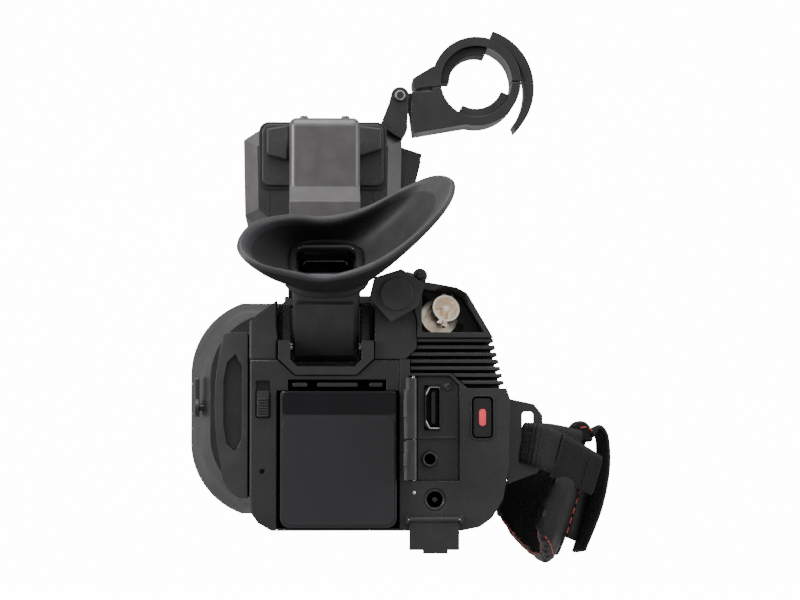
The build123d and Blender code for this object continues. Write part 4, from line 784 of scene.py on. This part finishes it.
# socket panel
hdmi_out = [(34.4, 38.3), (36.0, 35.2), (40.0, 35.2), (40.0, 50.2), (36.0, 50.2), (34.4, 47.1)]
hdmi_in = [(34.9, 38.5), (36.3, 35.7), (39.5, 35.7), (39.5, 49.7), (36.3, 49.7), (34.9, 46.9)]
rim_steps = [(hdmi_out, 3.0), (hdmi_out, 1.55), (hdmi_in, 1.55), (hdmi_in, 3.0)]
rows = [[at(x, depth, z) for x, z in line] for line, depth in rim_steps]
bake(piece("hdmi_rim", [v for row in rows for v in row],
           grid_faces(4, 6, wrap_rows=True, wrap_cols=True),
           nickel, "camera", smooth=False),
     ("BEVEL", {"width": 0.12 * MM, "segments": 2}))
rear_slab("hdmi_tongue", rounded(1.5, 10.4, 0.3, 37.4, 42.7), 10, 8.2, button_black,
          "camera", 0.1)
screw("port_screw", at(42.6, 1.75, 50.2), REARWARD, 1.25, dark_metal, "camera")
lathe("power_lamp", at(30.6, 0.3, 13.1), REARWARD,
      [(0.75, -0.5), (0.75, 0.2), (0.5, 0.5), (0.2, 0.6)], steel, "camera", 20)
lathe("dc_pin", at(37.8, 10.0, 10.8), REARWARD,
      [(0.85, 0), (0.85, 8.6), (0.6, 9.0), (0.2, 9.1)], nickel, "camera", 24)
for name, x, z, radius in (("phones_ring", 36.1, 24.8, 2.62), ("dc_ring", 37.8, 10.8, 3.7)):
    lathe(name, at(x, 0.5, z), REARWARD,
          [(radius, 0), (radius, 0.22), (radius - 0.12, 0.32), (radius - 0.6, 0.32),
           (radius - 0.75, 0.2), (radius - 0.75, 0.0)],
          dark_metal, "camera", 48)

# coaxial socket
BNC_LEAN, BNC_TURN = math.radians(17), math.radians(13)     # up from level, and to the right
BNC_AXIS = Vector((math.sin(BNC_TURN), -math.cos(BNC_TURN) * math.cos(BNC_LEAN),
                   math.sin(BNC_LEAN))).normalized()
bnc_mid = at(39.7, 10.0, 74.5)
lathe("bnc_pin", bnc_mid, BNC_AXIS, [(0.75, 0), (0.75, 7.0), (0.5, 7.6), (0.15, 7.7)], gold,
      "camera", 24)
lathe("bnc_insulator", bnc_mid, BNC_AXIS, [(2.6, 0), (2.6, 2.4), (2.2, 2.7), (0.9, 2.7), (0.85, 2.2)],
      nickel, "camera", 32)
side_way = BNC_AXIS.cross(Vector((0, 0, 1))).normalized()
for k, sign in enumerate((1, -1)):
    way = (side_way * 0.5 + BNC_AXIS.cross(side_way) * 0.87).normalized() * sign
    lathe(f"bnc_lug_{k}", bnc_mid + BNC_AXIS * 8.6 * MM + way * 4.6 * MM, way,
          [(0.95, 0), (0.95, 1.3), (0.75, 1.6), (0.2, 1.65)], nickel, "camera", 20)

# module: framed rear face with side blocks behind the handle's leg
MODULE_REAR = 150.0
rear_slab("module_recess", rounded(51.2, 27.4, 4.0, 0, 145.6, 8), MODULE_REAR, 0.5, bay_black,
          "camera", 0.3)
rear_slab("module_plate", rounded(48.6, 24.8, 3.0, 0, 145.9, 8), MODULE_REAR - 0.4, 1.4, case_black,
          "camera", 0.5)
blocks = [
    ("module_block_left", [(-22.5, 156.0), (-14, 157.4), (-14, 143.4), (-21.6, 145.2), (-22.5, 146.4)]),
    ("module_block_right", [(14, 157.4), (23.4, 156.4), (23.4, 147.8), (14, 144.6)]),
]
for name, outline in blocks:
    rear_slab(name, outline, MODULE_REAR - 1.6, 4.2, case_black, "camera", 0.8)
for name, x in (("module_seam_left", -21.4), ("module_seam_right", 20.6)):
    rear_slab(name, rounded(0.45, 13.5, 0.1, x, 125.4), MODULE_REAR, 0.12, bay_black, "camera",
              0.04)

# handle details
for k, x in enumerate((-7.7, 7.7)):
    lathe(f"handle_stud_{k}", at(x, 66, 150.9), (0, 0, 1),
          [(1.6, 0), (1.6, 0.7), (1.2, 1.1), (0.3, 1.15)], handle_grey_and_highlight, "camera", 24)

# ------------------------------------------------------------------ camera, lights and stage
world = bpy.data.worlds.new("studio")
world.use_nodes = True
world.node_tree.nodes["Background"].inputs["Color"].default_value = (1, 1, 1, 1)
world.node_tree.nodes["Background"].inputs["Strength"].default_value = 0.56
bpy.context.scene.world = world


def softbox(name, place, target, size, power, colour=(1, 1, 1)):
    light = bpy.data.lights.new(name, "AREA")
    light.shape = "RECTANGLE"
    light.size, light.size_y = size
    light.energy = power
    light.color = colour
    obj = bpy.data.objects.new(name, light)
    obj.location = place
    obj.rotation_euler = (Vector(target) - Vector(place)).to_track_quat("-Z", "Y").to_euler()
    bpy.context.scene.collection.objects.link(obj)
    return obj


softbox("front_fill", (-0.1, -1.5, 1.0), (0.0, -0.05, 0.06), (1.6, 0.9), 3)
softbox("key_top", (-0.1, -0.35, 1.1), (0.02, -0.02, 0.05), (0.9, 0.9), 14)
softbox("left", (-1.05, -0.6, 0.42), (0, -0.02, 0.08), (0.4, 0.6), 18, (1, 0.97, 0.93))
softbox("right", (1.05, -0.45, 0.5), (0.02, -0.02, 0.06), (0.5, 1.0), 9)

floor_verts = [(-3, -3, -0.07), (3, -3, -0.07), (3, 1.2, -0.07), (3, 1.5, 0.1), (3, 1.6, 0.4),
               (3, 1.6, 3), (-3, 1.6, 3), (-3, 1.6, 0.4), (-3, 1.5, 0.1), (-3, 1.2, -0.07)]
floor_faces = [(0, 1, 2, 9), (9, 2, 3, 8), (8, 3, 4, 7), (7, 4, 5, 6)]
floor_mesh = bpy.data.meshes.new("backdrop")
floor_mesh.from_pydata(floor_verts, [], floor_faces)
floor = bpy.data.objects.new("backdrop", floor_mesh)
bpy.context.scene.collection.objects.link(floor)
paper = new_material("paper", (0.93, 0.93, 0.93), 0.9, spec=0.1)
shader = paper.node_tree.nodes["Principled BSDF"]
shader.inputs["Emission Color"].default_value = (1, 1, 1, 1)
shader.inputs["Emission Strength"].default_value = 14.0
floor.data.materials.append(paper)
for face in floor.data.polygons:
    face.use_smooth = True
floor.visible_diffuse = False
floor.visible_glossy = False
floor.visible_transmission = False

cam = bpy.data.cameras.new("camera")
cam.sensor_width = 36
cam.lens = 129.6
cam.clip_start = 0.05
cam.clip_end = 20
eye = bpy.data.objects.new("camera", cam)
eye.location = (-0.009, -1.095, 0.028)
yaw = math.radians(1.989)       # the camera looks a little to the right
pitch = math.radians(2.981)     # and a little up
look = Vector((math.sin(yaw), math.cos(yaw), math.tan(pitch)))
eye.rotation_euler = look.to_track_quat("-Z", "Y").to_euler()
bpy.context.scene.collection.objects.link(eye)
bpy.context.scene.camera = eye
